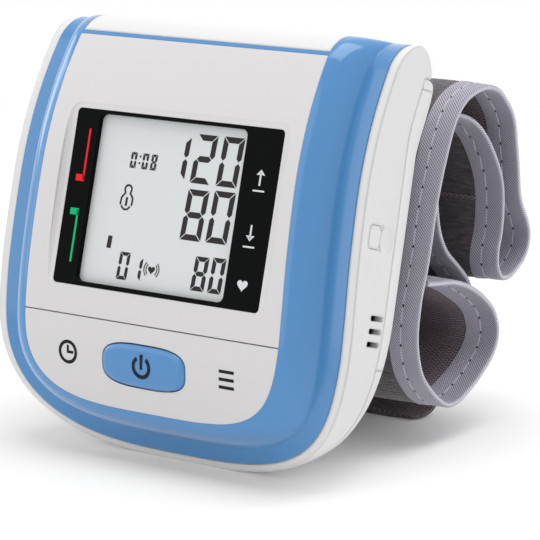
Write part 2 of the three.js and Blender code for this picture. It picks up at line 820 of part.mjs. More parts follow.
// Vents and the latch notch in the right side wall
const vents = spread(0, ventCount - 1, ventCount - 1).map((i) => {
  const z = ventZ + (i - (ventCount - 1) / 2) * ventPitch;
  return slabX(
    roundedRectangle(ventY - ventWidth / 2, z - ventHeight / 2, ventY + ventWidth / 2,
      z + ventHeight / 2, ventCorner),
    caseHalfWidth - 2 * wall,
    wide,
  );
});
const latchShape = (margin, backEnd) => {
  const tongue = roundedRectangle(latchFrontY - margin, latchZ - latchHeight / 2 - margin,
    backEnd, latchZ + latchHeight / 2 + margin, latchCorner + margin);
  return tongue;
};
const neckShape = (margin, backEnd) =>
  roundedRectangle(latchNeckY - margin, latchZ - latchNeckHeight / 2 - margin, backEnd,
    latchZ + latchNeckHeight / 2 + margin, latchCorner + margin);
const latchNotch = slabX(latchShape(gap, seamY + overrun), caseHalfWidth - 2 * wall, wide).add(
  slabX(neckShape(gap, seamY + overrun), caseHalfWidth - 2 * wall, wide),
);
const housing = cutAll(
  housingBlock.intersect(rimFace).subtract(aheadOfSeam).subtract(bezelPocket).subtract(cavity)
    .subtract(frontWay).add(topCap.intersect(crownOf(0))),
  [bandRoom(1, gap), bandRoom(-1, gap), ...vents, latchNotch],
);

// Ground: the lowest line of the case once it leans back
const lowestStand = Math.min(
  ...spread(caseBottomZ, cornerStartZ, groundSteps).map((z) => {
    const y = seamDepth(z);
    return z * Math.cos(leanAngle) - y * Math.sin(leanAngle);
  }),
);
const groundZ = lowestStand + baseFlat;
const groundCut = (clearance) => {
  const half = 2 * (caseHalfWidth + backY);
  return solid(
    new THREE.BoxGeometry(2 * half, 2 * half, half)
      .translate(0, 0, groundZ + clearance - half / 2)
      .rotateX(leanAngle),
  );
};
addPiece(caseGroup, "mid_housing", housing.subtract(groundCut(0)), "white");
addPiece(caseGroup, "blue_bezel", bezel.intersect(crownOf(0)), "blue");

// Back cover: a loft from the case's outline to the raised back that carries the cuff
const backCentreZ = -5;
const straightSteps = 7;
const flankSteps = 3;

// Where a ray from the middle of the back meets an outline
function rayPoint(points, angle) {
  const dx = Math.cos(angle);
  const dz = Math.sin(angle);
  let reach = 0;
  points.forEach((from, i) => {
    const to = points[(i + 1) % points.length];
    const ex = to.x - from.x;
    const ez = to.y - from.y;
    const det = ex * dz - ez * dx;
    if (det === 0) return;
    const along = (dx * (from.y - backCentreZ) - dz * from.x) / det;
    const out = (ex * (from.y - backCentreZ) - ez * from.x) / det;
    if (along >= 0 && along <= 1) reach = Math.max(reach, out);
  });
  return [reach * dx, backCentreZ + reach * dz];
}

// Rays through every corner of the case's outline, and between the ends of its straight runs
function rayAngles() {
  const [topRight, ...rest] = outlineShape(0, crownZ).getPoints();
  const topLeft = rest[rest.length - 1];
  const run = (from, to) =>
    spread(0, 1, straightSteps).slice(1).map((share) => from.clone().lerp(to, share));
  const ring = [
    ...run(topLeft, topRight),
    ...run(topRight, rest[0]),
    ...rest.slice(1, -1),
    ...run(rest[rest.length - 2], topLeft),
  ];
  return ring.map((point) => Math.atan2(point.y - backCentreZ, point.x));
}
const backAngles = rayAngles();

function rayRing(shape) {
  const points = shape.getPoints(2 * arcSegments);
  return backAngles.map((angle) => rayPoint(points, angle));
}

function plateauShape(inset) {
  const half = backHalfWidth - inset;
  const top = backTopZ - inset;
  const bottom = backBottomZ + inset;
  const topR = backTopCorner;
  const bottomR = backBottomCorner;
  const shape = new THREE.Shape();
  shape.moveTo(half, bottom + bottomR);
  shape.lineTo(half, top - topR);
  shape.absarc(half - topR, top - topR, topR, 0, quarterTurn);
  shape.lineTo(-half + topR, top);
  shape.absarc(-half + topR, top - topR, topR, quarterTurn, 2 * quarterTurn);
  shape.lineTo(-half, bottom + bottomR);
  shape.absarc(-half + bottomR, bottom + bottomR, bottomR, 2 * quarterTurn, 3 * quarterTurn);
  shape.lineTo(half - bottomR, bottom);
  shape.absarc(half - bottomR, bottom + bottomR, bottomR, -quarterTurn, 0);
  return shape;
}

function backLoft(inset) {
  const front = rayRing(outlineShape(inset, crownZ - gap / 2 - inset));
  const back = rayRing(plateauShape(inset));
  const rim = rayRing(plateauShape(inset + backEdgeRound));
  const far = backY - inset;
  const roundSteps = 3;
  const rings = [
    front.map(([x, z]) => [x, seamY - 2 * overrun, z]),
    front.map(([x, z]) => [x, seamDepth(z), z]),
    ...spread(0, 1, flankSteps).slice(1, -1).map((share) =>
      front.map(([x, z], i) => {
        const inwards = share ** flankBulge;
        const y = seamDepth(z);
        return [
          x + (back[i][0] - x) * inwards,
          y + (far - backEdgeRound - y) * share,
          z + (back[i][1] - z) * inwards,
        ];
      }),
    ),
    ...spread(0, quarterTurn, roundSteps).map((turn) =>
      back.map(([x, z], i) => {
        const inwards = 1 - Math.cos(turn);
        return [
          x + (rim[i][0] - x) * inwards,
          far - backEdgeRound * (1 - Math.sin(turn)),
          z + (rim[i][1] - z) * inwards,
        ];
      }),
    ),
  ];
  return skin(rings);
}
const behindSeamRoom = slabX(behindSeam(gap / 2, farBack), -wide, wide);
const backOuter = backLoft(0).intersect(behindSeamRoom);
const backInner = backLoft(wall);
const insideBack = backLoft(wall + gap).add(
  slabY(outlineShape(wall + gap, crownZ - wall - gap), rimDepth, seamY - overrun),
);
const backShell = backOuter.subtract(backInner);

// The door takes the right flank between the two cuts, with the tongue of its latch
const doorRoom = (clearance) => {
  const height = doorTopZ - doorBottomZ + 2 * clearance;
  const width = wide - doorEdgeX + clearance;
  return blockAt(
    doorEdgeX - clearance + width / 2,
    (seamY + farBack) / 2,
    (doorTopZ + doorBottomZ) / 2,
    width,
    farBack - seamY + 2 * overrun,
    height,
  );
};
const sideSkin = slabY(outlineShape(0), nearFace, farBack).subtract(
  slabY(outlineShape(wall), nearFace, farBack),
);
const tongueEndY = seamY + wall;
const tongue = slabX(latchShape(0, tongueEndY), doorEdgeX, wide)
  .intersect(sideSkin)
  .subtract(
    slabX(neckShape(0, latchNeckY + overrun), caseHalfWidth - wall / 2, wide),
  );
const door = backOuter
  .subtract(backInner)
  .intersect(doorRoom(0))
  .add(tongue);
addPiece(caseGroup, "battery_door", door, "white");

// Posts, the motor's saddle and the hole for the air nipple
const postFrontY = chassisBackY + gap;
const postBackY = backY - wall / 2;
const postRoom = backLoft(wall / 2).add(
  slabY(outlineShape(wall + gap, caseTopZ - wall - gap), rimDepth, seamY),
);
const posts = screwSpots.map(([x, z]) =>
  bar("y", x, (postFrontY + postBackY) / 2, z, bossRadius, postBackY - postFrontY)
    .intersect(postRoom)
    .subtract(
      bar("y", x, postFrontY + screwLength / 2, z, screwShankRadius + gap, screwLength + gap, pinSides),
    ),
);
const motorMiddleZ = motorBottomZ + motorLength / 2;
const saddle = blockAt(motorX, (motorY + postBackY) / 2, motorMiddleZ, motorRadius,
  postBackY - motorY, motorRadius).subtract(
  bar("z", motorX, motorY, motorMiddleZ, motorRadius + gap, motorLength),
);
const nippleZ = manifoldTopZ - hoseRadius - gap;
const nippleHole = bar("y", manifoldX, backY, nippleZ, portRadius + gap, cutDepth, barSides);
const backCover = cutAll(
  joinAll([backShell.subtract(doorRoom(gap)), ...posts, saddle]),
  [nippleHole, groundCut(0), slabX(latchShape(gap, farBack), caseHalfWidth - 2 * wall, wide)],
);
addPiece(caseGroup, "back_cover", backCover, "white");

screwSpots.forEach(([x, z], i) => {
  const headY = chassisFrontY - gap - screwHeadHeight / 2;
  const screw = bar("y", x, headY, z, screwHeadRadius, screwHeadHeight, pinSides)
    .add(bar("y", x, headY + screwLength / 2, z, screwShankRadius, screwLength, shankSides))
    .subtract(
      blockAt(x, headY - screwHeadHeight / 2, z, 3 * screwShankRadius, 3 * gap, 2 * gap),
    );
  addPiece(caseGroup, "case_screw_" + (i + 1), screw, "steel");
});
const screwWays = screwSpots.map(([x, z]) =>
  bar("y", x, chassisFrontY, z, screwShankRadius + gap, cutDepth, pinSides));
addPiece(caseGroup, "chassis", cutAll(chassis, screwWays), "darkPlastic");

// Battery tray with its two cells and their contacts
const cellTopZ = cellBottomZ + cellLength + cellNubHeight;
const trayBottomZ = cellBottomZ - trayEndRoom;
const trayTopZ = cellTopZ + trayEndRoom;
const trayFrontY = outerCellY - cellRadius - gap - trayWall;
const trayLeftX = innerCellX - cellRadius - gap - trayWall;
const trayBlock = (inset, left, rightX) =>
  blockAt(
    (left + rightX) / 2,
    (trayFrontY + inset + farBack) / 2,
    (trayTopZ + trayBottomZ) / 2,
    rightX - left,
    farBack - trayFrontY - inset,
    trayTopZ - trayBottomZ + 2 * (trayWall - inset),
  );
const trayRightX = caseHalfWidth - sideTaper - wall - 2 * gap;
const tray = trayBlock(0, trayLeftX, trayRightX)
  .intersect(insideBack)
  .intersect(slabX(behindFace(flangeFront + flangeWall + gap, farBack), -wide, wide))
  .subtract(trayBlock(trayWall, trayLeftX + trayWall, wide))
  .subtract(bandRoom(1, 2 * gap));
addPiece(caseGroup, "battery_tray", tray, "darkPlastic");

function makeCell(x, y, up) {
  const bodyZ = cellBottomZ + (up ? 0 : cellNubHeight) + cellLength / 2;
  const nubZ = up ? cellTopZ - cellNubHeight : cellBottomZ + cellNubHeight;
  return bar("z", x, y, bodyZ, cellRadius, cellLength).add(
    bar("z", x, y, nubZ, cellNub, 2 * cellNubHeight, pinSides),
  );
}
addPiece(caseGroup, "battery_outer", makeCell(outerCellX, outerCellY, true), "cell");
addPiece(caseGroup, "battery_inner", makeCell(innerCellX, innerCellY, false), "cell");

// Each contact is a plate on the tray's end wall with a raised pad towards its cell
function makeContact(spots, z, towards) {
  const plateZ = z - towards * (trayEndRoom - gap - contactThickness / 2);
  const padHeight = trayEndRoom - 2 * gap - contactThickness / 2;
  const pads = spots.map(([x, y]) =>
    blockAt(x, y, plateZ, contactSize, contactSize, contactThickness).add(
      bar("z", x, y, plateZ + (towards * padHeight) / 2, cellNub, padHeight, pinSides),
    ),
  );
  if (spots.length === 1) return pads[0];
  const [[x0, y0], [x1, y1]] = spots;
  const link = new THREE.BoxGeometry(Math.hypot(x1 - x0, y1 - y0), contactSize / 2, contactThickness)
    .rotateZ(Math.atan2(y1 - y0, x1 - x0))
    .translate((x0 + x1) / 2, (y0 + y1) / 2, plateZ);
  return joinAll([...pads, solid(link)]);
}
const outerSpot = [outerCellX, outerCellY];
const innerSpot = [innerCellX, innerCellY];
addPiece(caseGroup, "contact_link", makeContact([outerSpot, innerSpot], cellTopZ, -1), "steel");
addPiece(caseGroup, "contact_outer", makeContact([outerSpot], cellBottomZ, 1), "steel");
addPiece(caseGroup, "contact_inner", makeContact([innerSpot], cellBottomZ, 1), "steel");

// Pump, release valve, manifold and the hoses between them
const motor = bar("z", motorX, motorY, motorMiddleZ, motorRadius, motorLength).add(
  bar("z", motorX, motorY, motorBottomZ, portRadius * 2, gap * 3, pinSides),
);
addPiece(caseGroup, "pump_motor", motor, "steel");
const headBottomZ = motorBottomZ + motorLength + gap;
const headMiddleZ = headBottomZ + headLength / 2;
const portReach = motorX + headSize / 2;
const pumpHead = slabZ(
  roundedRectangle(motorX - headSize / 2, motorY - headSize / 2, motorX + headSize / 2,
    motorY + headSize / 2, headSize / 4),
  headBottomZ,
  headBottomZ + headLength,
).add(bar("x", portReach + portLength / 2, motorY, headMiddleZ, portRadius, portLength + gap, pinSides));
addPiece(caseGroup, "pump_head", pumpHead, "greyPlastic");
const valveY = partsY + valveSize / 2;
const valveEndX = valveX + valveLength / 2;
const valve = blockAt(valveX, valveY, valveZ, valveLength, valveSize, valveSize).add(
  bar("x", valveEndX + portLength / 2, valveY, valveZ, portRadius, portLength + gap, pinSides),
);
addPiece(caseGroup, "release_valve", valve, "steel");
const manifoldY = partsY + manifoldSize / 2;
const manifoldBackY = partsY + manifoldSize;
const manifoldLeftX = manifoldX - manifoldSize / 2;
const manifoldSensorZ = manifoldTopZ - manifoldHeight + hoseRadius + gap;
const manifold = joinAll([
  blockAt(manifoldX, manifoldY, manifoldTopZ - manifoldHeight / 2, manifoldSize, manifoldSize,
    manifoldHeight),
  bar("x", manifoldLeftX - portLength / 2, valveY, valveZ, portRadius, portLength + gap, pinSides),
  bar("z", manifoldX, manifoldY, manifoldTopZ + portLength / 2, portRadius, portLength + gap, pinSides),
  bar("y", manifoldX, manifoldBackY + portLength / 2, nippleZ, portRadius, portLength + gap, pinSides),
  bar("y", manifoldX, manifoldBackY + portLength / 2, manifoldSensorZ, portRadius, portLength + gap,
    pinSides),
]);
addPiece(caseGroup, "air_manifold", manifold, "greyPlastic");

function makeHose(points, steps) {
  const ring = new THREE.Shape().absarc(0, 0, hoseRadius, 0, 2 * Math.PI);
  ring.holes.push(new THREE.Path().absarc(0, 0, hoseBore, 0, 2 * Math.PI, true));
  const path = new THREE.CatmullRomCurve3(points.map((p) => new THREE.Vector3(...p)));
  return solid(
    new THREE.ExtrudeGeometry(ring, { steps, curveSegments: arcSegments, extrudePath: path }),
  );
}
const grip = portLength - gap;
addPiece(caseGroup, "valve_hose", makeHose([
  [valveEndX + gap, valveY, valveZ],
  [manifoldLeftX - gap, valveY, valveZ],
], 1), "clearTube");
const nippleFrontY = backY - wall - gap - portLength;
addPiece(caseGroup, "cuff_hose", makeHose([
  [manifoldX, manifoldBackY + gap, nippleZ],
  [manifoldX, nippleFrontY, nippleZ],
], 1), "clearTube");
addPiece(caseGroup, "pump_hose", makeHose([
  [portReach + gap, motorY, headMiddleZ],
  [portReach + gap + grip, motorY, headMiddleZ],
  [portReach + gap + 1.5 * grip, motorY, headMiddleZ - gap],
  [manifoldX - hoseRadius / 2, motorY - hoseRadius, headMiddleZ - hoseRadius],
  [manifoldX, manifoldY + hoseRadius, manifoldTopZ + gap + grip + 2 * hoseRadius],
  [manifoldX, manifoldY, manifoldTopZ + gap + grip],
  [manifoldX, manifoldY, manifoldTopZ + gap],
], hoseSteps), "clearTube");
const loopY = manifoldBackY + 3 * grip;
addPiece(caseGroup, "sensor_hose", makeHose([
  [sensorX, sensorTopY + gap, sensorZ],
  [sensorX, sensorTopY + gap + grip, sensorZ],
  [sensorX, loopY - grip / 2, sensorZ + hoseRadius / 4],
  [(sensorX + manifoldX) / 2, loopY, (sensorZ + manifoldSensorZ) / 2],
  [manifoldX, loopY - grip / 2, manifoldSensorZ - hoseRadius / 4],
  [manifoldX, manifoldBackY + gap + grip, manifoldSensorZ],
  [manifoldX, manifoldBackY + gap, manifoldSensorZ],
], hoseSteps), "clearTube");
const nippleFlange = 1;
const nippleLength = backY + plateThickness - nippleFrontY + portLength / 2;
const nipple = bar("y", manifoldX, backY + plateThickness - nippleLength / 2, nippleZ,
  portRadius, nippleLength, pinSides).add(
  bar("y", manifoldX, backY - wall - gap - portLength / 4, nippleZ, portRadius * 2,
    nippleFlange, barSides),
);
addPiece(caseGroup, "air_nipple", nipple, "greyPlastic");
const buzzer = bar("y", buzzerX, partsY + buzzerHeight / 2, buzzerZ, buzzerRadius, buzzerHeight)
  .subtract(bar("y", buzzerX, partsY + buzzerHeight, buzzerZ, portRadius / 2, buzzerHeight, pinSides));
addPiece(caseGroup, "buzzer", buzzer, "darkPlastic");

// Plate that joins the cuff to the back
const cuffPlate = slabY(
  roundedRectangle(-plateHalfWidth, plateBottomZ, plateHalfWidth, plateTopZ, plateCorner),
  backY + gap,
  backY + gap + plateThickness,
).subtract(bar("y", manifoldX, backY, nippleZ, portRadius + gap, cutDepth, barSides));
addPiece(caseGroup, "cuff_plate", cuffPlate, "darkPlastic");

// The cuff's run seen from the side, from its inner end to the start of its tail: shares of its
// depth behind the plane where it rests on the plate, and of its height over the ground
const cuffRestY = backY + gap + plateThickness + gap + clothThickness;
const cuffDepth = 40;
const cuffHeight = 65;
const tailLength = 8;
const cuffPathShares = [
  [0.0852, 0.478], [0.2422, 0.462], [0.4434, 0.425], [0.5726, 0.388], [0.6814, 0.338],
  [0.7487, 0.271], [0.7352, 0.215], [0.6528, 0.170], [0.5447, 0.136], [0.4507, 0.113],
  [0.3657, 0.113], [0.2802, 0.137], [0.1906, 0.175], [0.0953, 0.226], [0.0301, 0.286],
  [-0.0023, 0.342], [-0.0090, 0.426], [-0.0010, 0.522], [-0.0040, 0.632], [-0.0047, 0.725],
  [0.0032, 0.803], [0.0317, 0.882], [0.0805, 0.942], [0.1435, 0.974], [0.2180, 0.989],
  [0.3087, 0.992], [0.4091, 0.975], [0.4955, 0.942], [0.5654, 0.908], [0.6154, 0.869],
  [0.6754, 0.782], [0.7640, 0.648], [0.8643, 0.574], [0.9044, 0.528], [0.8995, 0.482],
  [0.8477, 0.445], [0.7757, 0.422], [0.7010, 0.426], [0.6448, 0.463], [0.6247, 0.509],
  [0.6282, 0.565], [0.6140, 0.625], [0.5675, 0.720], [0.5100, 0.783], [0.4434, 0.837],
  [0.3705, 0.878], [0.2887, 0.905], [0.2157, 0.914], [0.1569, 0.900], [0.1346, 0.857],
  [0.1602, 0.778], [0.2059, 0.678], [0.2678, 0.598], [0.3621, 0.531], [0.5009, 0.472],
  [0.6130, 0.426], [0.7044, 0.377], [0.7902, 0.318], [0.8457, 0.248], [0.8779, 0.163],
  [0.8660, 0.078], [0.8050, 0.023],
];

const pathSpots = cuffPathShares.map(([back, up]) => {
  const z = groundZ + up * cuffHeight;
  const restY = cuffRestY / Math.cos(leanAngle) + z * Math.tan(leanAngle);
  return new THREE.Vector3(0, restY + back * cuffDepth, z);
});
const lastSpot = pathSpots[pathSpots.length - 1];
const tailZ = groundZ + clothThickness / 2;
pathSpots.push(
  new THREE.Vector3(0, lastSpot.y - tailLength / 2, tailZ),
  new THREE.Vector3(0, lastSpot.y - tailLength, tailZ),
);
const cuffPath = new THREE.CatmullRomCurve3(pathSpots, false, "centripetal");
cuffPath.arcLengthDivisions = 1200;

// Where along the run things begin and end
const archShare = 0.66;
const legShare = 0.76;
const lowShare = 0.86;
const tailShare = 0.965;
const turnShare = 0.535;
const bladderStartShare = 0.03;
const bladderEndShare = 0.3;
const bladderEaseShare = 0.03;
const cuffLength = cuffPath.getLength();

function bandHalfWidth(share) {
  const toLeg = THREE.MathUtils.smoothstep(share, archShare, legShare);
  const toTail = THREE.MathUtils.smoothstep(share, lowShare, tailShare);
  const base = cuffHalfWidth - (cuffHalfWidth - legHalfWidth) * toLeg -
    (legHalfWidth - tailHalfWidth) * toTail;
  const left = (1 - share) * cuffLength;
  if (left > tailRound) return base;
  const inwards = tailRound - left;
  return base - tailRound + Math.sqrt(Math.max(0, tailRound * tailRound - inwards * inwards));
}

function coreAt(share) {
  const rise = THREE.MathUtils.smoothstep(share, bladderStartShare - bladderEaseShare,
    bladderStartShare + bladderEaseShare);
  const fall = 1 - THREE.MathUtils.smoothstep(share, bladderEndShare - bladderEaseShare,
    bladderEndShare + bladderEaseShare);
  return (bladderThickness + gap) * Math.min(rise, fall);
}

// Stations along the run, closer together where it bends
const fineSteps = 1500;
const bendWeight = 14; // a turn of one radian counts as this many millimetres
const fineTangents = spread(0, 1, fineSteps).map((share) => cuffPath.getTangentAt(share));
const progress = fineTangents.reduce((sums, tangent, i) => {
  if (i === 0) return [0];
  const turn = tangent.angleTo(fineTangents[i - 1]);
  return [...sums, sums[i - 1] + cuffLength / fineSteps + bendWeight * turn];
}, []);
const progressAt = (share) => {
  const place = share * fineSteps;
  const i = Math.min(fineSteps - 1, Math.floor(place));
  return progress[i] + (progress[i + 1] - progress[i]) * (place - i);
};
const shareOf = (wanted) => {
  const i = Math.max(1, progress.findIndex((sum) => sum >= wanted));
  return (i - 1 + (wanted - progress[i - 1]) / (progress[i] - progress[i - 1])) / fineSteps;
};

function stations(stops) {
  const between = stops.slice(1).flatMap((to, i) => {
    const start = progressAt(stops[i]);
    const end = progressAt(to);
    const steps = Math.max(1, Math.round(((end - start) / progress[fineSteps]) * bandSteps));
    return [...spread(start, end, steps).slice(1, -1).map(shareOf), to];
  });
  return [stops[0], ...between];
}

// A piece of the band. Its section lists spots of x and the offset towards the skin side.
function bandPiece(stops, sectionAt) {
  const rings = stations(stops).map((share) => {
    const p = cuffPath.getPointAt(share);
    const t = cuffPath.getTangentAt(share);
    return sectionAt(share).map(([x, offset]) =>
      [x, p.y + t.z * offset, Math.max(groundZ, p.z - t.y * offset)]);
  });
  return skin(rings, capOf(sectionAt(stops[0])));
}

const outerFace = -clothThickness / 2;
const outerBack = clothThickness / 2;
const skinBack = outerBack + gap;
const skinFace = skinBack + skinThickness;
const breakShare = gap / 2 / cuffLength;
const tailStart = bindingEndShare + breakShare;
const tailFull = bindingEndShare + 2 * breakShare;
const clothEdge = (share) =>
  bandHalfWidth(share) - (share < tailFull ? bindingWidth + gap : 0);
const flatSection = (from, to, near, far) => [[from, near], [to, near], [to, far], [from, far]];
const outerSection = (share) =>
  flatSection(-clothEdge(share), clothEdge(share), outerFace, outerBack);

// The skin cloth lies flat along its edges and swells over the air bladder
const skinSection = (share) => {
  const edge = clothEdge(share);
  const swell = Math.min(bladderHalfWidth, edge - gap);
  const core = coreAt(share);
  return [
    [-edge, skinBack], [-swell, skinBack + core], [swell, skinBack + core], [edge, skinBack],
    [edge, skinFace], [swell, skinFace + core], [-swell, skinFace + core], [-edge, skinFace],
  ];
};
const strapSkinSection = (share) =>
  flatSection(-clothEdge(share), clothEdge(share), skinBack, skinFace);
const cuffStops = [0, turnShare - breakShare];
const strapStops = [turnShare + breakShare, tailStart, tailFull, 1];
addPiece(cuffGroup, "cuff_outer_cloth", bandPiece(cuffStops, outerSection), "brushedCloth");
addPiece(cuffGroup, "strap_outer_cloth", bandPiece(strapStops, outerSection), "brushedCloth");
addPiece(cuffGroup, "cuff_skin_cloth", bandPiece(cuffStops, skinSection), "wovenCloth");
addPiece(cuffGroup, "strap_skin_cloth", bandPiece(strapStops, strapSkinSection), "wovenCloth");
const bladderStops =
  [bladderStartShare + bladderEaseShare, bladderEndShare - bladderEaseShare];
const bladderHalf = bladderHalfWidth - bladderThickness;
const bladderSection = () =>
  flatSection(-bladderHalf, bladderHalf, skinBack, skinBack + bladderThickness);
addPiece(cuffGroup, "air_bladder", bandPiece(bladderStops, bladderSection), "rubber");
const bindingStops = [0, bindingEndShare];
const rightBinding = (share) => flatSection(bandHalfWidth(share) - bindingWidth,
  bandHalfWidth(share), outerFace, skinFace);
const leftBinding = (share) => flatSection(-bandHalfWidth(share),
  bindingWidth - bandHalfWidth(share), outerFace, skinFace);
addPiece(cuffGroup, "edge_binding_right", bandPiece(bindingStops, rightBinding), "tape");
addPiece(cuffGroup, "edge_binding_left", bandPiece(bindingStops, leftBinding), "tape");

// The whole part stands on the ground, centred over its middle
caseGroup.rotation.x = -leanAngle;
const assembly = new THREE.Group();
assembly.add(caseGroup, cuffGroup);
const extent = new THREE.Box3().setFromObject(assembly, true);
const middle = extent.getCenter(new THREE.Vector3());
for (const group of [caseGroup, cuffGroup]) {
  group.position.set(-middle.x, -middle.y, -extent.min.z);
}
export default assembly;
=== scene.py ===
import bpy
import bmesh
from bisect import bisect_right
from math import asin, atan2, copysign, cos, exp, hypot, pi, radians, sin, sqrt
from mathutils import Matrix, Vector


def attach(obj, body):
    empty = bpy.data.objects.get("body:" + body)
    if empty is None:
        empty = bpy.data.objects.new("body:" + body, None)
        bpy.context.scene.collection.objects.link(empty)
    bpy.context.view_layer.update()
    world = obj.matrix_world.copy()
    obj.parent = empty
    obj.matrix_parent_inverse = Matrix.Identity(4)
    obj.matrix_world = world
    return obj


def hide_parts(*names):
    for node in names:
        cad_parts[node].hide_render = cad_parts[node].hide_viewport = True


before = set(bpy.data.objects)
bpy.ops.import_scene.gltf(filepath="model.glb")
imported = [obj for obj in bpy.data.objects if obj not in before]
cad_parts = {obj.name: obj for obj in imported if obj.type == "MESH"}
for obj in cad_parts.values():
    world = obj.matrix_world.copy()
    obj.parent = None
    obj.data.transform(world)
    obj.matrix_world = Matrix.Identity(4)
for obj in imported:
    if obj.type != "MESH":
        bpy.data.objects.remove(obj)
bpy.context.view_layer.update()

# The case's own frame: x across, y back from the face, z up the case, in millimetres
mm = 0.001
lean = radians(15.05)
caseShift = Vector((0, -32.92, 47.225))
caseFrame = (
    Matrix.Translation(caseShift * mm) @ Matrix.Rotation(-lean, 4, "X") @ Matrix.Scale(mm, 4)
)


# Outline and face of the case, and the reach of the bodies that cut it
case = {"halfWidth": 38.9, "sideTaper": 1.1, "cornerStart": -14, "bottom": -44.3,
        "cornerPower": 3, "innerPower": 3.9, "bottomShare": 0.73, "wall": 1.8, "gap": 0.05,
        "near": -3, "far": 36, "wide": 41, "past": 2}
wall, gap = case["wall"], case["gap"]
face = {"apexY": -0.85, "apexZ": 5, "upperRadius": 65, "lowerRadius": 190, "browStart": 28.5,
        "browRadius": 8.5, "chinStart": -24, "chinRadius": 36, "inset": 10.9,
        "panelWall": 1.8}


def spread(start, end, steps):
    return [start + (end - start) * i / steps for i in range(steps + 1)]


def fullTurn(steps):
    return spread(0, 2 * pi, steps)[:-1]


def smoothStep(value, low, high):
    share = min(1, max(0, (value - low) / (high - low)))
    return share * share * (3 - 2 * share)


def arcStart(radius, z):
    sine = abs(z - face["apexZ"]) / radius
    cosine = sqrt(1 - sine * sine)
    return sine, cosine, face["apexY"] + radius * (1 - cosine)


browSine, browCosine, browY = arcStart(face["upperRadius"], face["browStart"])
browCentreY = browY + face["browRadius"] * browCosine
browCentreZ = face["browStart"] - face["browRadius"] * browSine
caseTop = browCentreZ + face["browRadius"]
chinSine, chinCosine, chinY = arcStart(face["lowerRadius"], face["chinStart"])
chinCentreY = chinY + face["chinRadius"] * chinCosine
chinCentreZ = face["chinStart"] + face["chinRadius"] * chinSine


# Depth of the face at a height, and the direction out of it
def facePoint(z):
    if z > face["browStart"]:
        sine = min(1, (z - browCentreZ) / face["browRadius"])
        cosine = sqrt(1 - sine * sine)
        return browCentreY - face["browRadius"] * cosine, -cosine, sine
    if z < face["chinStart"]:
        sine = min(1, (chinCentreZ - z) / face["chinRadius"])
        cosine = sqrt(1 - sine * sine)
        return chinCentreY - face["chinRadius"] * cosine, -cosine, -sine
    radius = face["upperRadius"] if z > face["apexZ"] else face["lowerRadius"]
    sine = (z - face["apexZ"]) / radius
    cosine = sqrt(1 - sine * sine)
    return face["apexY"] + radius * (1 - cosine), -cosine, sine


def faceY(z):
    return facePoint(z)[0]


browAngles = spread(asin(browSine), pi / 2, 20)
browHeights = [browCentreZ + face["browRadius"] * sin(angle) for angle in browAngles]
sideHeights = spread(case["cornerStart"], face["browStart"], 40) + browHeights[1:]
faceHeights = spread(case["bottom"], case["cornerStart"], 50)[:-1] + sideHeights
cutTop, cutBottom = caseTop + case["past"], case["bottom"] - case["past"]


def halfWidthAt(inset, z):
    rise = max(0, (z - case["cornerStart"]) / (caseTop - case["cornerStart"]))
    return case["halfWidth"] - inset - case["sideTaper"] * rise


def signedPower(value, power):
    return copysign(abs(value) ** power, value)


# The rounded bottom of the outline, from its right side round to its left
def cornerLine(inset, steps=120):
    share = inset / face["inset"]
    power = case["cornerPower"] + (case["innerPower"] - case["cornerPower"]) * share
    drop = case["cornerStart"] - case["bottom"] - inset * case["bottomShare"]
    half = halfWidthAt(inset, case["cornerStart"])
    return [
        (
            half * signedPower(cos(turn), 2 / power),
            case["cornerStart"] - drop * abs(sin(turn)) ** (2 / power),
        )
        for turn in spread(0, pi, steps)
    ]


def outline(inset, top=None):
    top = caseTop if top is None else top
    half = halfWidthAt(inset, top)
    return [(half, top)] + cornerLine(inset) + [(-half, top)]


# Mesh code: closed bodies through rings of points, and cuts between them
def addMesh(name, vertices, faces):
    mesh = bpy.data.meshes.new(name)
    mesh.from_pydata(vertices, [], faces)
    shape = bmesh.new()
    shape.from_mesh(mesh)
    bmesh.ops.recalc_face_normals(shape, faces=shape.faces)
    shape.to_mesh(mesh)
    shape.free()
    piece = bpy.data.objects.new(name, mesh)
    bpy.context.collection.objects.link(piece)
    return piece


# Faces of a closed body through rows of points, with a cap at each end
def ringFaces(start, count, rows):
    last = start + (rows - 1) * count
    sides = [
        (row + i, row + (i + 1) % count, row + count + (i + 1) % count, row + count + i)
        for row in range(start, last, count)
        for i in range(count)
    ]
    return sides + [tuple(range(start, start + count)), tuple(range(last, last + count))]


def skin(name, rings):
    vertices = [point for ring in rings for point in ring]
    return addMesh(name, vertices, ringFaces(0, len(rings[0]), len(rings)))


def slabY(name, shape, front, back):
    return skin(name, [[(x, y, z) for x, z in shape] for y in (front, back)])


def slabX(name, shape, left, right):
    return skin(name, [[(x, y, z) for y, z in shape] for x in (left, right)])


def wholeWidth(name, shape):
    return slabX(name, shape, -case["wide"], case["wide"])


def wholeDepth(name, shape):
    return slabY(name, shape, case["near"], case["far"])


def outlineBody(inset, top=None):
    return wholeDepth("outline", outline(inset, top))


def combine(body, operation, tools):
    for tool in tools:
        change = body.modifiers.new("change", "BOOLEAN")
        change.solver = "MANIFOLD"
        change.operation = operation
        change.object = tool
        graph = bpy.context.evaluated_depsgraph_get()
        result = bpy.data.meshes.new_from_object(body.evaluated_get(graph))
        body.modifiers.clear()
        body.data = result
        bpy.data.objects.remove(tool)
    return body


def cut(body, *tools):
    return combine(body, "DIFFERENCE", tools)


def keep(body, *tools):
    return combine(body, "INTERSECT", tools)


def join(body, *tools):
    return combine(body, "UNION", tools)


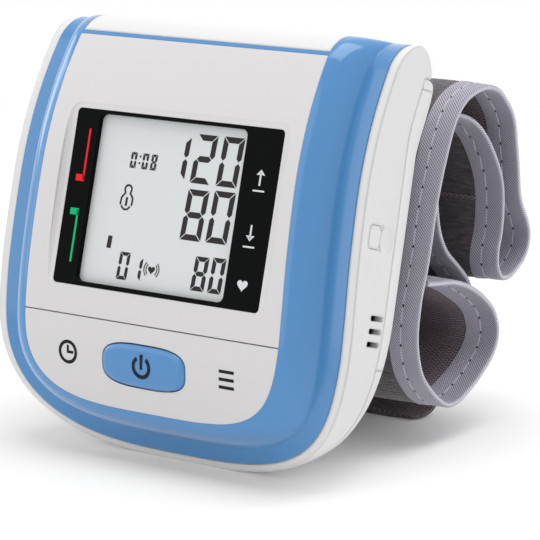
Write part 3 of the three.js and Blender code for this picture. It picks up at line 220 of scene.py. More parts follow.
def rectangle(x0, z0, x1, z1, radius=0.01, lowRadius=None, steps=10):
    low = radius if lowRadius is None else lowRadius
    corners = ((x1, z1, radius, 0), (x0, z1, radius, 1), (x0, z0, low, 2), (x1, z0, low, 3))
    points = []
    for x, z, reach, quarter in corners:
        cx = x - copysign(reach, x - (x0 + x1) / 2)
        cz = z - copysign(reach, z - (z0 + z1) / 2)
        for turn in spread(quarter * pi / 2, (quarter + 1) * pi / 2, steps):
            points.append((cx + reach * cos(turn), cz + reach * sin(turn)))
    return points


def centred(x, z, halfWidth, halfHeight, radius):
    return rectangle(x - halfWidth, z - halfHeight, x + halfWidth, z + halfHeight, radius)


# A layer that follows the face between two depths, as an outline in y and z
def faceLayer(front, back, bottom, top, endY=None):
    heights = [bottom] + [z for z in faceHeights if bottom < z < top] + [min(top, caseTop)]
    spots = [(z, *facePoint(z)) for z in heights]
    line, inner = [
        [(y - outY * depth, z - outZ * depth) for z, y, outY, outZ in spots]
        + ([] if endY is None else [(endY, caseTop - depth)])
        for depth in (front, back)
    ]
    return line + inner[::-1]


# All that lies deeper than a depth under the face
def behindFace(depth):
    line = [(faceY(z) + depth, z) for z in faceHeights]
    return wholeWidth("behindFace", [
        (line[0][0], cutBottom), *line, (line[-1][0], cutTop), (case["far"], cutTop),
        (case["far"], cutBottom),
    ])


# Materials
def srgb(code):
    parts = [int(code[i:i + 2], 16) / 255 for i in (0, 2, 4)]
    return tuple(v / 12.92 if v <= 0.04045 else ((v + 0.055) / 1.055) ** 2.4 for v in parts)


# Links the inputs that are given an output, and sets the others to plain values
def setInputs(node, inputs):
    for label, value in inputs.items():
        if isinstance(value, bpy.types.NodeSocket):
            node.id_data.links.new(value, node.inputs[label])
        else:
            node.inputs[label].default_value = value
    return node


def addNode(tree, kind, inputs):
    return setInputs(tree.nodes.new("ShaderNode" + kind), inputs)


def mathOf(tree, operation, *values):
    node = tree.nodes.new("ShaderNodeMath")
    node.operation = operation
    return setInputs(node, dict(enumerate(values))).outputs[0]


# A wave between 0 and 1 along a value
def waveOf(tree, value, period):
    turn = mathOf(tree, "MULTIPLY", mathOf(tree, "DIVIDE", value, period), 2 * pi)
    return mathOf(tree, "MULTIPLY_ADD", mathOf(tree, "SINE", turn), 0.5, 0.5)


def newGroup(name, inputs, outputs):
    group = bpy.data.node_groups.new(name, "ShaderNodeTree")
    for label, value in inputs.items():
        socket = group.interface.new_socket(label, in_out="INPUT",
                                            socket_type="NodeSocketFloat")
        socket.default_value = value
    for label, kind in outputs.items():
        group.interface.new_socket(label, in_out="OUTPUT", socket_type="NodeSocket" + kind)
    given = group.nodes.new("NodeGroupInput").outputs
    return group, given, group.nodes.new("NodeGroupOutput")


# Grain of moulded plastic and softly rounded edges, in millimetres
def makeGrain():
    group, given, result = newGroup("grain", {"Size": 0.5, "Height": 0.004, "Edge": 0.2},
                                    {"Mask": "Float", "Normal": "Vector"})
    place = group.nodes.new("ShaderNodeTexCoord")
    rounding = addNode(group, "Bevel", {"Radius": mathOf(group, "MULTIPLY", given["Edge"], mm)})
    rounding.samples = 6
    noise = addNode(group, "TexNoise", {
        "Detail": 3,
        "Vector": place.outputs["Object"],
        "Scale": mathOf(group, "DIVIDE", 1 / mm, given["Size"]),
    })
    bump = addNode(group, "Bump", {
        "Distance": mathOf(group, "MULTIPLY", given["Height"], mm),
        "Height": noise.outputs["Fac"],
        "Normal": rounding.outputs["Normal"],
    })
    setInputs(result, {"Mask": noise.outputs["Fac"], "Normal": bump.outputs["Normal"]})
    return group


grainGroup = makeGrain()
unevenness = 0.3  # share of the roughness that varies with the grain


def newMaterial(name, values):
    material = bpy.data.materials.new(name)
    material.use_nodes = True
    tree = material.node_tree
    return material, tree, setInputs(tree.nodes["Principled BSDF"], values)


def makeMaterial(name, colour, roughness, metallic=0, coat=0, grain=None, edge=0, specular=0.5):
    material, tree, shader = newMaterial(name, {
        "Base Color": (*srgb(colour), 1), "Roughness": roughness, "Metallic": metallic,
        "Coat Weight": coat, "Specular IOR Level": specular,
    })
    if grain:
        finish = tree.nodes.new("ShaderNodeGroup")
        finish.node_tree = grainGroup
        setInputs(finish, {"Size": grain[0], "Height": grain[1], "Edge": edge})
        uneven = mathOf(tree, "MULTIPLY_ADD", finish.outputs["Mask"], unevenness * roughness,
                        (1 - unevenness / 2) * roughness)
        setInputs(shader, {"Roughness": uneven, "Normal": finish.outputs["Normal"]})
    return material


shellWhite = makeMaterial("shellWhite", "E2E1E1", 0.45, grain=(0.5, 0.004), edge=0.9)
# The face panels are the shell's white plastic, painted a little darker as shade on the face
shadedPanelWhite = makeMaterial("shadedPanelWhite", "D7D5D6", 0.45, grain=(0.5, 0.004), edge=0.15)
glossBlue = makeMaterial("glossBlue", "4689C4", 0.16, coat=0.4, grain=(1.5, 0.0004), edge=0.15)
windowBlack = makeMaterial("windowBlack", "050607", 0.4, grain=(0.8, 0.0005), edge=0.1,
                           specular=0.04)
crystal = makeMaterial("crystal", "D6DADB", 0.4, grain=(0.3, 0.003))
segmentInk = makeMaterial("segmentInk", "343032", 0.6, specular=0.1)
redInk = makeMaterial("redInk", "E8252B", 0.5, specular=0.1)
greenInk = makeMaterial("greenInk", "12B877", 0.5, specular=0.1)
paleInk = makeMaterial("paleInk", "D5D8DA", 0.45)
iconInk = makeMaterial("iconInk", "0A0B0E", 0.5, specular=0.2)
powerInk = makeMaterial("powerInk", "0A1728", 0.45, specular=0.2)
darkPlastic = makeMaterial("darkPlastic", "33363A", 0.5, grain=(0.4, 0.01))
greyPlastic = makeMaterial("greyPlastic", "9A9CA0", 0.5, grain=(0.4, 0.01))
boardGreen = makeMaterial("boardGreen", "1F6B45", 0.5, grain=(0.6, 0.01))
steel = makeMaterial("steel", "B8BBC0", 0.3, metallic=1, grain=(0.2, 0.003))
cellJacket = makeMaterial("cellJacket", "3C4A58", 0.35, grain=(0.4, 0.004))
rubber = makeMaterial("rubber", "2A2A2C", 0.8, grain=(0.4, 0.02))
tubeClear = makeMaterial("tubeClear", "D8DCD6", 0.35, grain=(0.8, 0.005))
thread = makeMaterial("thread", "C6C4D0", 0.7, grain=(0.2, 0.02))
# Dark dots painted as the shade inside the needle holes
needleHoleShade = makeMaterial("needleHoleShade", "2C2A30", 0.9)


# A group whose mask follows the places that a band's points carry along and across it
def makePattern(name, inputs, draw):
    group, given, result = newGroup(name, inputs, {"Mask": "Float"})
    place = group.nodes.new("ShaderNodeUVMap")
    place.uv_map = "run"
    along, across = addNode(group, "SeparateXYZ", {0: place.outputs[0]}).outputs[:2]
    setInputs(result, {"Mask": draw(group, given, along, across)})
    return group


# Threads that step from side to side across the band, in rows along it
def drawZigzag(group, given, along, across, dip=0.35):
    zig = mathOf(group, "PINGPONG", across, given["Step"])
    shifted = mathOf(group, "MULTIPLY_ADD", zig, given["Slope"], along)
    rows = waveOf(group, shifted, given["Row"])
    columns = waveOf(group, across, given["Step"])
    dips = mathOf(group, "MULTIPLY_ADD", columns, dip, 1 - dip)
    return mathOf(group, "MULTIPLY", rows, dips)


# Fine slanting threads, crossed by fainter ones, and a painted highlight along the middle of
# the fold where the tape turns over the edge
def drawTwill(group, given, along, across, crossing=0.45, paintedFoldHighlight=0.6):
    main, crossed = [
        waveOf(group, mathOf(group, operation, along, across), given["Pitch"])
        for operation in ("ADD", "SUBTRACT")
    ]
    faint = mathOf(group, "MULTIPLY_ADD", crossed, crossing, 1 - crossing)
    threads = mathOf(group, "MULTIPLY", main, faint)
    # Painted highlight: paler the nearer the middle of the fold, where the place across is zero
    away = mathOf(group, "DIVIDE", mathOf(group, "ABSOLUTE", across), given["FoldHighlightWidth"])
    fold = mathOf(group, "MAXIMUM", mathOf(group, "SUBTRACT", paintedFoldHighlight, away), 0)
    return mathOf(group, "ADD", threads, fold)


# Fibres brushed across the band, uneven from spot to spot
def drawNap(group, given, along, across, contrast=2.2, darkening=0.6):
    place = addNode(group, "CombineXYZ", {
        0: mathOf(group, "MULTIPLY", along, given["Along"]),
        1: mathOf(group, "MULTIPLY", across, given["Across"]),
    })
    noise = addNode(group, "TexNoise", {"Scale": 1, "Detail": 5, "Roughness": 0.7,
                                        "Vector": place.outputs[0]})
    fibres = mathOf(group, "MULTIPLY_ADD", noise.outputs["Fac"], contrast, -darkening)
    return mathOf(group, "MINIMUM", fibres, 1)


nap = makePattern("nap", {"Along": 1.6, "Across": 0.3}, drawNap)
zigzag = makePattern("zigzagWeave", {"Row": 0.75, "Step": 0.6, "Slope": 0.8}, drawZigzag)
twill = makePattern("twill", {"Pitch": 0.56, "FoldHighlightWidth": 0.9}, drawTwill)


def makeCloth(name, dark, light, effect, height, sheen, sheenSpread=0.5):
    material, tree, shader = newMaterial(name, {
        "Roughness": 0.9, "Specular IOR Level": 0.2, "Sheen Weight": sheen,
        "Sheen Roughness": sheenSpread,
    })
    pattern = tree.nodes.new("ShaderNodeGroup")
    pattern.node_tree = effect
    mask = pattern.outputs["Mask"]
    mix = tree.nodes.new("ShaderNodeMix")
    mix.data_type = "RGBA"
    # Unclamped, so a mask above one paints paler than the light colour, as the twill's fold
    # highlight does
    mix.clamp_factor = False
    setInputs(mix, {"Factor": mask, "A": (*srgb(dark), 1), "B": (*srgb(light), 1)})
    bump = addNode(tree, "Bump", {"Strength": 1, "Distance": height * mm, "Height": mask})
    setInputs(shader, {"Base Color": mix.outputs["Result"], "Normal": bump.outputs["Normal"]})
    return material


brushed = makeCloth("brushed", "444044", "756D71", nap, 0.2, 0.7, 0.2)
woven = makeCloth("woven", "554B50", "9A8C92", zigzag, 0.15, 0.1)
tape = makeCloth("tape", "767482", "D2D0DB", twill, 0.05, 0.6, 0.3)


def finishPiece(piece, material, slot, *nodes, body="case"):
    piece.data.transform(caseFrame)
    dress(piece, material, slot, *nodes, body=body)


def dress(piece, material, slot, *nodes, body="case", sharp=30):
    piece.data.shade_smooth()
    piece.data.set_sharp_from_angle(angle=radians(sharp))
    piece.data.materials.clear()
    piece.data.materials.append(material)
    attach(piece, body)
    if nodes:
        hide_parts(*nodes)


# Seam, crown and outline bodies that the shells are cut with
crown = {"bottom": 28.6, "radius": 5.5, "back": 20.4}
seam = {"y": 15.6, "topRise": 3.6, "topStart": 16, "margin": 1.2}
rim = {"inset": 1.8, "depth": 5.4, "drop": 0.6}
ground = {"front": -20, "back": 60, "reach": 90}


def seamDepth(z):
    if z > 0:
        return seam["y"] + seam["topRise"] * smoothStep(z, seam["topStart"], caseTop)
    return max(seam["y"], faceY(z) + rim["depth"] + rim["drop"] + seam["margin"])


def behindSeam(offset):
    line = [(seamDepth(z) + offset, z) for z in spread(cutBottom, cutTop, 90)]
    return wholeWidth("behindSeam", line + [(case["far"], cutTop), (case["far"], cutBottom)])


# The case from the side: lower at the back, and round along the top's rear edge
def crownBody(inset=0):
    centreY = crown["back"] - crown["radius"]
    centreZ = caseTop - crown["radius"]
    radius = crown["radius"] - inset
    return wholeWidth("crown", [
        (case["near"], cutBottom),
        (case["far"], cutBottom),
        (case["far"], crown["bottom"]),
        (crown["back"] - inset, crown["bottom"]),
        *[(centreY + radius * cos(turn), centreZ + radius * sin(turn))
          for turn in spread(0, pi / 2, 24)],
        (case["near"], caseTop - inset),
    ])


def groundCut():
    front, back, low = ground["front"], ground["back"], -ground["reach"]
    slope = [(y, (y * sin(lean) - caseShift.z) / cos(lean)) for y in (front, back)]
    return slabX("ground", slope + [(back, low), (front, low)], low, -low)


print("forms ready")

# Blue surround: its section rolls from the face into a valley and out to the rim
bezel = {"wall": 1.6, "ledgeInset": 12.6, "ledgeFront": 2.35, "topEnd": browCentreY + 5.7,
         "roll": [(10.9, 0), (9.4, 0.35), (8, 1.3), (6.8, 2.8), (5.9, 4.5), (5.4, 5.7)],
         "under": [(6.6, rim["depth"]), (7.4, 3.8), (8.6, 2.3), (10, 1.7)]}


def curveThrough(points, steps):
    line = []
    for i in range(len(points) - 1):
        before = points[max(0, i - 1)]
        start, end = points[i], points[i + 1]
        after = points[min(len(points) - 1, i + 2)]
        for k in range(steps):
            t = k / steps
            line.append(tuple(
                0.5 * (2 * b + (c - a) * t + (2 * a - 5 * b + 4 * c - d) * t * t
                       + (3 * b - a - 3 * c + d) * t * t * t)
                for a, b, c, d in zip(before, start, end, after)
            ))
    return line + [points[-1]]


bezelEdge = (rim["inset"] + gap, rim["depth"])
bezelSection = (
    [(*spot, 0) for spot in curveThrough(bezel["roll"], 4) + [bezelEdge]]
    + [(*spot, bezel["wall"]) for spot in [bezelEdge] + bezel["under"]]
    + [
        (bezel["ledgeInset"], 0, bezel["ledgeFront"] + bezel["wall"]),
        (bezel["ledgeInset"], 0, bezel["ledgeFront"]),
        (face["inset"], 0, bezel["ledgeFront"]),
    ]
)


def bezelSideRing(side, z, endY=None):
    ring = []
    for inset, depth, under in bezelSection:
        x = side * halfWidthAt(inset, z)
        if endY is not None:
            ring.append((x, max(endY, browCentreY + depth), caseTop - under))
            continue
        y, outY, outZ = facePoint(z)
        ring.append((x, y + depth - outY * under, z - outZ * under))
    return ring


def bezelSide(side):
    return [
        *(bezelSideRing(side, z) for z in sideHeights[1:]),
        bezelSideRing(side, caseTop, bezel["topEnd"]),
    ]


cornerRings = [list(ring) for ring in zip(*(
    [(x, faceY(z) + depth + under, z) for x, z in cornerLine(inset)]
    for inset, depth, under in bezelSection
))]
bezelPiece = skin("bezel", bezelSide(1)[::-1] + cornerRings + bezelSide(-1))
bridge = {"bottom": face["browStart"] + 1, "height": 0.7}
bridgeHalf = halfWidthAt(face["inset"], bridge["bottom"]) + gap
bridgeShape = faceLayer(0, bezel["ledgeFront"] + bezel["wall"], bridge["bottom"],
                        bridge["bottom"] + bridge["height"])
join(bezelPiece, slabX("bridge", bridgeShape, -bridgeHalf, bridgeHalf))
keep(bezelPiece, crownBody())
finishPiece(bezelPiece, glossBlue, "blue_trim", "blue_bezel")
bezelPiece.visible_diffuse = False
print("bezel built")

# Housing: the white rim, the side walls and the rounded crown
housing = {"flangeFront": rim["depth"] + bezel["wall"] + gap, "flangeWall": 1.4,
           "flangeInset": 7.6, "lowReach": 9, "roomHeight": 4.25, "roomTop": 5,
           "roomDepth": 9}
vent = {"width": 3.8, "height": 0.92, "pitch": 2.25, "y": 13, "z": -15.9, "count": 3}
latch = {"front": 7.2, "end": 10.9, "height": 4, "z": 0, "corner": 0.8, "gap": 0.07,
         "thin": 0.2, "armInset": 0.5, "armLength": 2, "armFront": 0.3, "armBack": 0.9}
# Hollows by the latch tab: a finger scoop behind it and small pockets at two of its corners
scoop = {"y": 12.7, "rises": (0,), "reachY": 2, "reachZ": 2.4, "depth": 0.3, "steps": 40,
         "sizes": ((-1, 1.12), (0, 1.06), (0.5, 0.85), (1, 0.6))}
lobe = {"y": latch["end"] + 0.1, "rises": (1.75, -1.75), "reachY": 0.62, "reachZ": 0.62,
        "depth": 0.22, "steps": 24, "sizes": ((-1, 1.05), (0.2, 1), (1, 0.8))}


def latchShape(margin, back):
    half = latch["height"] / 2 + margin
    return rectangle(latch["front"] - margin, latch["z"] - half, back, latch["z"] + half,
                     latch["corner"] + margin)


def sideCut(name, shape):
    return slabX(name, shape, case["halfWidth"] - 2 * wall, case["wide"])


# Each hollow is an outline whose size changes with the share of its depth
def cutHollows(body):
    side = halfWidthAt(0, latch["z"])
    for hollow in (scoop, lobe):
        for rise in hollow["rises"]:
            cut(body, skin("hollow", [
                [(side - share * hollow["depth"],
                  hollow["y"] + size * hollow["reachY"] * cos(turn),
                  latch["z"] + rise + size * hollow["reachZ"] * sin(turn))
                 for turn in fullTurn(hollow["steps"])]
                for share, size in hollow["sizes"]
            ]))


housingPiece = keep(wholeDepth("housing", outline(0)), crownBody(),
                    behindFace(rim["depth"] + rim["drop"] / 2))
low = rectangle(case["near"] - housing["lowReach"], case["bottom"] - housing["lowReach"],
                case["far"] + housing["lowReach"], crown["bottom"] + gap / 2)
cut(
    housingPiece,
    keep(behindSeam(-gap / 2), wholeWidth("low", low)),
    cut(outlineBody(rim["inset"], caseTop - bezel["wall"] - gap),
        behindFace(housing["flangeFront"])),
    keep(outlineBody(wall, caseTop - wall),
         behindFace(housing["flangeFront"] + housing["flangeWall"]), crownBody(wall)),
    keep(outlineBody(housing["flangeInset"], caseTop - 2 * wall), crownBody(wall)),
)
capHalf = halfWidthAt(face["inset"] + gap, caseTop)
capShape = faceLayer(0, wall, bridge["bottom"] + bridge["height"] + gap, caseTop,
                     seamDepth(caseTop) - gap)
join(housingPiece, keep(slabX("cap", capShape, -capHalf, capHalf), crownBody()))
# Room for the upper ends of the blue surround
bandSeat = bezel["topEnd"] + gap
for side in (1, -1):
    left, right = sorted((side * capHalf, side * halfWidthAt(rim["inset"], caseTop)))
    room = rectangle(left, caseTop - housing["roomHeight"], right, caseTop + housing["roomTop"])
    cut(housingPiece, slabY("bandRoom", room, bandSeat - housing["roomDepth"], bandSeat))
for i in range(vent["count"]):
    z = vent["z"] + (i - (vent["count"] - 1) / 2) * vent["pitch"]
    slot = centred(vent["y"], z, vent["width"] / 2, vent["height"] / 2, vent["height"] / 4)
    cut(housingPiece, sideCut("vent", slot))
cut(housingPiece, sideCut("notch", latchShape(latch["gap"], latch["end"] + latch["gap"])))
cutHollows(housingPiece)
cut(housingPiece, groundCut())
finishPiece(housingPiece, shellWhite, "white_shell", "mid_housing")
print("housing built")

# Back cover and battery door: a loft from the case's outline to the raised back
back = {"y": 33.5, "halfWidth": 29.3, "top": 27.5, "bottom": -27, "topCorner": 6,
        "bottomCorner": 14, "edgeRound": 2.2, "bulge": 1.6, "topBulge": 0.5,
        "bulgeStart": 17, "centreZ": -5, "lead": 4}
door = {"edgeX": 28.2, "top": 26.6, "bottom": -22.4, "lead": 5}


def rayReach(points, angle, centre):
    dx, dz = cos(angle), sin(angle)
    reach = 0
    for (x0, z0), (x1, z1) in zip(points, points[1:] + points[:1]):
        ex, ez = x1 - x0, z1 - z0
        det = ex * dz - ez * dx
        if abs(det) < 1e-12:
            continue
        along = (dx * (z0 - centre[1]) - dz * (x0 - centre[0])) / det
        out = (ex * (z0 - centre[1]) - ez * (x0 - centre[0])) / det
        if -1e-9 <= along <= 1 + 1e-9:
            reach = max(reach, out)
    return centre[0] + reach * dx, centre[1] + reach * dz


def plateau(inset):
    half = back["halfWidth"] - inset
    return rectangle(-half, back["bottom"] + inset, half, back["top"] - inset,
                     back["topCorner"], back["bottomCorner"], 16)


backCentre = (0, back["centreZ"])
backRing = outline(0, crown["bottom"])
backAngles = sorted({
    round(atan2(z - backCentre[1], x), 6)
    for x, z in backRing + plateau(0)
} | {round(turn, 6) for turn in spread(-pi, pi, 180)[:-1]})


def backLoft(name, inset):
    def ringOf(shape):
        return [rayReach(shape, angle, backCentre) for angle in backAngles]
    front = ringOf(outline(inset, crown["bottom"] - gap / 2 - inset))
    rear = ringOf(plateau(inset))
    edge = ringOf(plateau(inset + back["edgeRound"]))
    far = back["y"] - inset
    rings = [
        [(x, seam["y"] - back["lead"], z) for x, z in front],
        [(x, seamDepth(z), z) for x, z in front],
    ]
    for share in spread(0, 1, 8)[1:-1]:
        ring = []
        for (x, z), (rx, rz) in zip(front, rear):
            raised = smoothStep(z, back["bulgeStart"], crown["bottom"])
            inwards = share ** (back["bulge"] + back["topBulge"] * raised)
            depth = seamDepth(z) + (far - back["edgeRound"] - seamDepth(z)) * share
            ring.append((x + (rx - x) * inwards, depth, z + (rz - z) * inwards))
        rings.append(ring)
    for turn in spread(0, pi / 2, 8):
        inwards = 1 - cos(turn)
        depth = far - back["edgeRound"] * (1 - sin(turn))
        rings.append([
            (x + (ex - x) * inwards, depth, z + (ez - z) * inwards)
            for (x, z), (ex, ez) in zip(rear, edge)
        ])
    return skin(name, rings)


def backShell(name):
    shell = keep(backLoft(name, 0), behindSeam(gap / 2))
    return cut(shell, backLoft("inside", wall))


def doorRoom(clearance):
    shape = rectangle(door["edgeX"] - clearance, door["bottom"] - clearance, case["wide"],
                      door["top"] + clearance)
    return slabY("doorRoom", shape, seam["y"] - door["lead"], case["far"] + case["past"])


backPiece = cut(backShell("backCover"), doorRoom(gap), groundCut())
finishPiece(backPiece, shellWhite, "white_shell", "back_cover")
doorPiece = keep(backShell("batteryDoor"), doorRoom(0))
tongue = slabX("tongue", latchShape(0, latch["end"]), door["edgeX"], case["wide"])
cut(keep(tongue, outlineBody(0)), outlineBody(wall - latch["thin"]))
cutHollows(tongue)
arm = slabX("arm", latchShape(-latch["armInset"], seam["y"] + latch["armLength"]),
            door["edgeX"], case["wide"])
keep(arm, outlineBody(wall - latch["armFront"]))
cut(arm, outlineBody(wall + latch["armBack"]))
join(doorPiece, join(tongue, arm))
finishPiece(doorPiece, shellWhite, "white_shell", "battery_door", body="battery_door")
print("back built")

# Screen panel, key panel and power button
window = {"width": 45.1, "height": 31.5, "x": 0.6, "corner": 0.8, "y": 0.25,
          "thickness": 1.1, "margin": 1.6}
keys = {"seamZ": -21.1, "seamGap": 0.2, "x": -0.6, "width": 18.1, "height": 7.4,
        "z": -28.2, "power": 3.2, "proud": 0.5, "around": 0.18, "base": 6, "round": 0.9,
        "edgeFall": 0.8, "dome": 0.15, "domeShare": 0.95, "iconRise": 0.14}


def windowShape(margin):
    return centred(window["x"], 0, window["width"] / 2 + margin,
                   window["height"] / 2 + margin, window["corner"] + max(0, margin))


def facePanel(name, bottom, top):
    panel = wholeWidth(name, faceLayer(0, face["panelWall"], bottom, top))
    return keep(panel, outlineBody(face["inset"] + gap))


screenPiece = facePanel("screenPanel", keys["seamZ"] + keys["seamGap"] / 2,
                        bridge["bottom"] - gap)
slope = window["margin"] / 3
pocketRings = [
    [(x, y, z) for x, z in windowShape(margin)]
    for margin, y in ((window["margin"], case["near"]),
                      (window["margin"], window["y"] - slope),
                      (window["margin"] - slope, window["y"]))
]
cut(screenPiece, skin("pocket", pocketRings), wholeDepth("hole", windowShape(gap)))
finishPiece(screenPiece, shadedPanelWhite, "white_shell", "screen_panel")


def buttonShape(margin, steps=96):
    halfWidth, halfHeight = keys["width"] / 2 + margin, keys["height"] / 2 + margin
    return [
        (keys["x"] + halfWidth * signedPower(cos(turn), 2 / keys["power"]),
         keys["z"] + halfHeight * signedPower(sin(turn), 2 / keys["power"]))
        for turn in fullTurn(steps)
    ]


keyPiece = facePanel("keyPanel", case["bottom"], keys["seamZ"] - keys["seamGap"] / 2)
cut(keyPiece, wholeDepth("hole", buttonShape(keys["around"])))
finishPiece(keyPiece, shadedPanelWhite, "white_shell", "key_panel", body="key_panel")

buttonRings = [[(x, keys["base"], z) for x, z in buttonShape(0)]]
for turn in spread(0, pi / 2, 6):
    sunk = keys["round"] * (1 - sin(turn)) * keys["edgeFall"]
    buttonRings.append([
        (x, faceY(z) - keys["proud"] + sunk, z)
        for x, z in buttonShape(-keys["round"] * (1 - cos(turn)))
    ])
for share in spread(0, 1, 6)[1:]:
    scale = 1 - keys["domeShare"] * share
    buttonRings.append([
        (x, faceY(z) - keys["proud"] - keys["dome"] * share, z)
        for x, z in (
            (keys["x"] + (bx - keys["x"]) * scale, keys["z"] + (bz - keys["z"]) * scale)
            for bx, bz in buttonShape(-keys["round"])
        )
    ])
buttonPiece = skin("powerButton", buttonRings)
finishPiece(buttonPiece, glossBlue, "blue_trim", "power_button", body="power_button")
print("panels built")

# Window and display
display = {"left": -16.95, "right": 15.5, "bottom": -14.95, "top": 15.15, "corner": 1.2,
           "y": 1.35, "slant": 0.05, "segmentGap": 0.12}
plate = {"halfWidth": 18, "halfHeight": 15.25, "corner": 0.3, "thickness": 1.8}
lensPiece = slabY("lens", windowShape(0), window["y"], window["y"] + window["thickness"])
lcdHole = rectangle(display["left"], display["bottom"], display["right"], display["top"],
                    display["corner"])
cut(lensPiece, wholeDepth("hole", lcdHole))
finishPiece(lensPiece, windowBlack, "window", "display_window")
lcdPlate = centred(0, 0, plate["halfWidth"], plate["halfHeight"], plate["corner"])
lcdPiece = slabY("crystalPlate", lcdPlate, display["y"], display["y"] + plate["thickness"])
finishPiece(lcdPiece, crystal, "liquid_crystal", "lcd_glass")

segmentsOf = {"0": "abcdef", "1": "bc", "2": "abged", "8": "abcdefg"}


def digit(value, x, z, width, height, stroke):
    half, t, g = width / 2, stroke, stroke * display["segmentGap"]
    mid = height / 2
    shapes = {
        "a": [(-half + g, height), (half - g, height), (half - t - g, height - t),
              (-half + t + g, height - t)],
        "g": [(-half + t / 2 + g, mid), (-half + t + g, mid + t / 2),
              (half - t - g, mid + t / 2), (half - t / 2 - g, mid), (half - t - g, mid - t / 2),
              (-half + t + g, mid - t / 2)],
        "b": [(half, height - g), (half - t, height - t - g), (half - t, mid + t / 2 + g),
              (half - t / 2, mid + g), (half, mid + t / 2 + g)],
    }
    shapes["f"] = [(-px, pz) for px, pz in shapes["b"]]
    for name, opposite in (("d", "a"), ("c", "b"), ("e", "f")):
        shapes[name] = [(px, height - pz) for px, pz in shapes[opposite]]
    return [
        [(x + px + (pz - mid) * display["slant"], z + pz) for px, pz in shapes[name]]
        for name in segmentsOf[value]
    ]


def ringShape(x, z, radius, stroke, start=0, end=360, steps=28):
    outer, inner = [
        [(x + reach * cos(radians(turn)), z + reach * sin(radians(turn)))
         for turn in spread(start, end, steps)]
        for reach in (radius + stroke / 2, radius - stroke / 2)
    ]
    return [[outer[i], outer[i + 1], inner[i + 1], inner[i]] for i in range(steps)]


def barShape(x0, z0, x1, z1, stroke):
    length = hypot(x1 - x0, z1 - z0)
    nx, nz = -(z1 - z0) / length * stroke / 2, (x1 - x0) / length * stroke / 2
    return [[(x0 + nx, z0 + nz), (x1 + nx, z1 + nz), (x1 - nx, z1 - nz), (x0 - nx, z0 - nz)]]


def heartShape(x, z, size):
    points = []
    for turn in fullTurn(32):
        hx = 16 * sin(turn) ** 3
        hz = 13 * cos(turn) - 5 * cos(2 * turn) - 2 * cos(3 * turn) - cos(4 * turn)
        points.append((x + size * hx / 32, z + size * hz / 32))
    return [points]


def arrow(x, z, up, half=1.4, neck=1, barb=0.45, wing=0.9, stroke=0.36):
    shaft = barShape(x, z - up * half, x, z + up * neck, stroke)
    return shaft + [[(x - wing, z + up * barb), (x, z + up * half), (x + wing, z + up * barb)]]


def drawAll(draw, places):
    return [shape for place in places for shape in draw(*place)]


# Flat marks raised a hair over the surface under them
def addMarks(name, shapes, surface, material, slot, body="case", height=0.03):
    vertices, faces = [], []
    for shape in shapes:
        faces += ringFaces(len(vertices), len(shape), 2)
        for lift in (-height, height):
            vertices += [(x, surface(z) - lift, z) for x, z in shape]
    finishPiece(addMesh(name, vertices, faces), material, slot, body=body)


def onCrystal(z):
    return display["y"]


def onLens(z):
    return window["y"]


def onButton(z):
    return faceY(z) - keys["proud"] - keys["iconRise"]


# Each digit: its value, middle, foot, width, height and stroke
digits = drawAll(digit, (
    ("1", 0.75, 5.2, 4.3, 7.6, 1), ("2", 6.35, 4.9, 4.3, 8.6, 1.05),
    ("0", 12, 4.9, 4.4, 8.7, 1.05), ("8", 6.1, -5.1, 4.5, 8.9, 1.05),
    ("0", 11.7, -5, 4.5, 9.1, 1.05), ("8", 9.1, -13.6, 2.9, 6, 0.82),
    ("0", 12.75, -13.6, 2.8, 6.2, 0.82), ("0", -8.85, 6.2, 1.3, 2.8, 0.47),
    ("0", -6.25, 6.2, 1.3, 2.8, 0.47), ("8", -4.35, 6.2, 1.3, 2.8, 0.47),
    ("0", -7.6, -13.6, 2.3, 4.9, 0.64), ("1", -4.6, -13.4, 2.2, 4.1, 0.6),
))
# Bars of the colon, the person and the level, each with its two ends and its stroke
displayBars = drawAll(barShape, (
    (-7.5, 7, -7.5, 7.35, 0.35), (-7.45, 8.2, -7.45, 8.55, 0.35),
    (-9.45, 1.8, -10.25, 0.8, 0.36), (-8.55, 1.8, -7.75, 0.8, 0.36),
    (-10.25, 0.85, -10.35, -0.5, 0.36), (-7.75, 0.85, -7.85, -0.5, 0.36),
    (-9.1, -0.6, -9.02, 0.95, 0.46), (-11.5, -8.4, -11.4, -6.2, 0.95),
))
# Rings of the person and the pulse: middle, radius, stroke, first and last turn, steps
displayRings = drawAll(ringShape, (
    (-9, 2.35, 0.75, 0.36, -50, 230), (-9.1, -0.25, 1, 0.34, 200, 340),
    (-1.35, -11.1, 1.2, 0.2, -45, 45, 8), (-1.35, -11.1, 1.65, 0.2, -45, 45, 8),
    (-1.35, -11.1, 1.2, 0.2, 135, 225, 8), (-1.35, -11.1, 1.65, 0.2, 135, 225, 8),
))
addMarks("displaySegments", digits + displayBars + displayRings
         + heartShape(-1.35, -11.15, 1.55), onCrystal, segmentInk, "liquid_crystal")
for name, ink, bars in (
    ("redMark", redInk, ((-18.6, 3, -18.6, 12.2, 0.42), (-20.3, 3.3, -18.4, 3.3, 1.2))),
    ("greenMark", greenInk,
     ((-18.7, -11.8, -18.7, -2.4, 0.42), (-20.4, -2.8, -18.5, -2.8, 1.2))),
):
    addMarks(name, drawAll(barShape, bars), onLens, ink, "window")
underlines = drawAll(barShape, ((18.3, 4.9, 20.7, 4.9, 0.3), (18, -4.8, 20.4, -4.8, 0.3)))
addMarks("pictograms", arrow(19.5, 7.2, 1) + arrow(19.2, -2.4, -1) + underlines
         + heartShape(19.1, -11.4, 2.2), onLens, paleInk, "window")
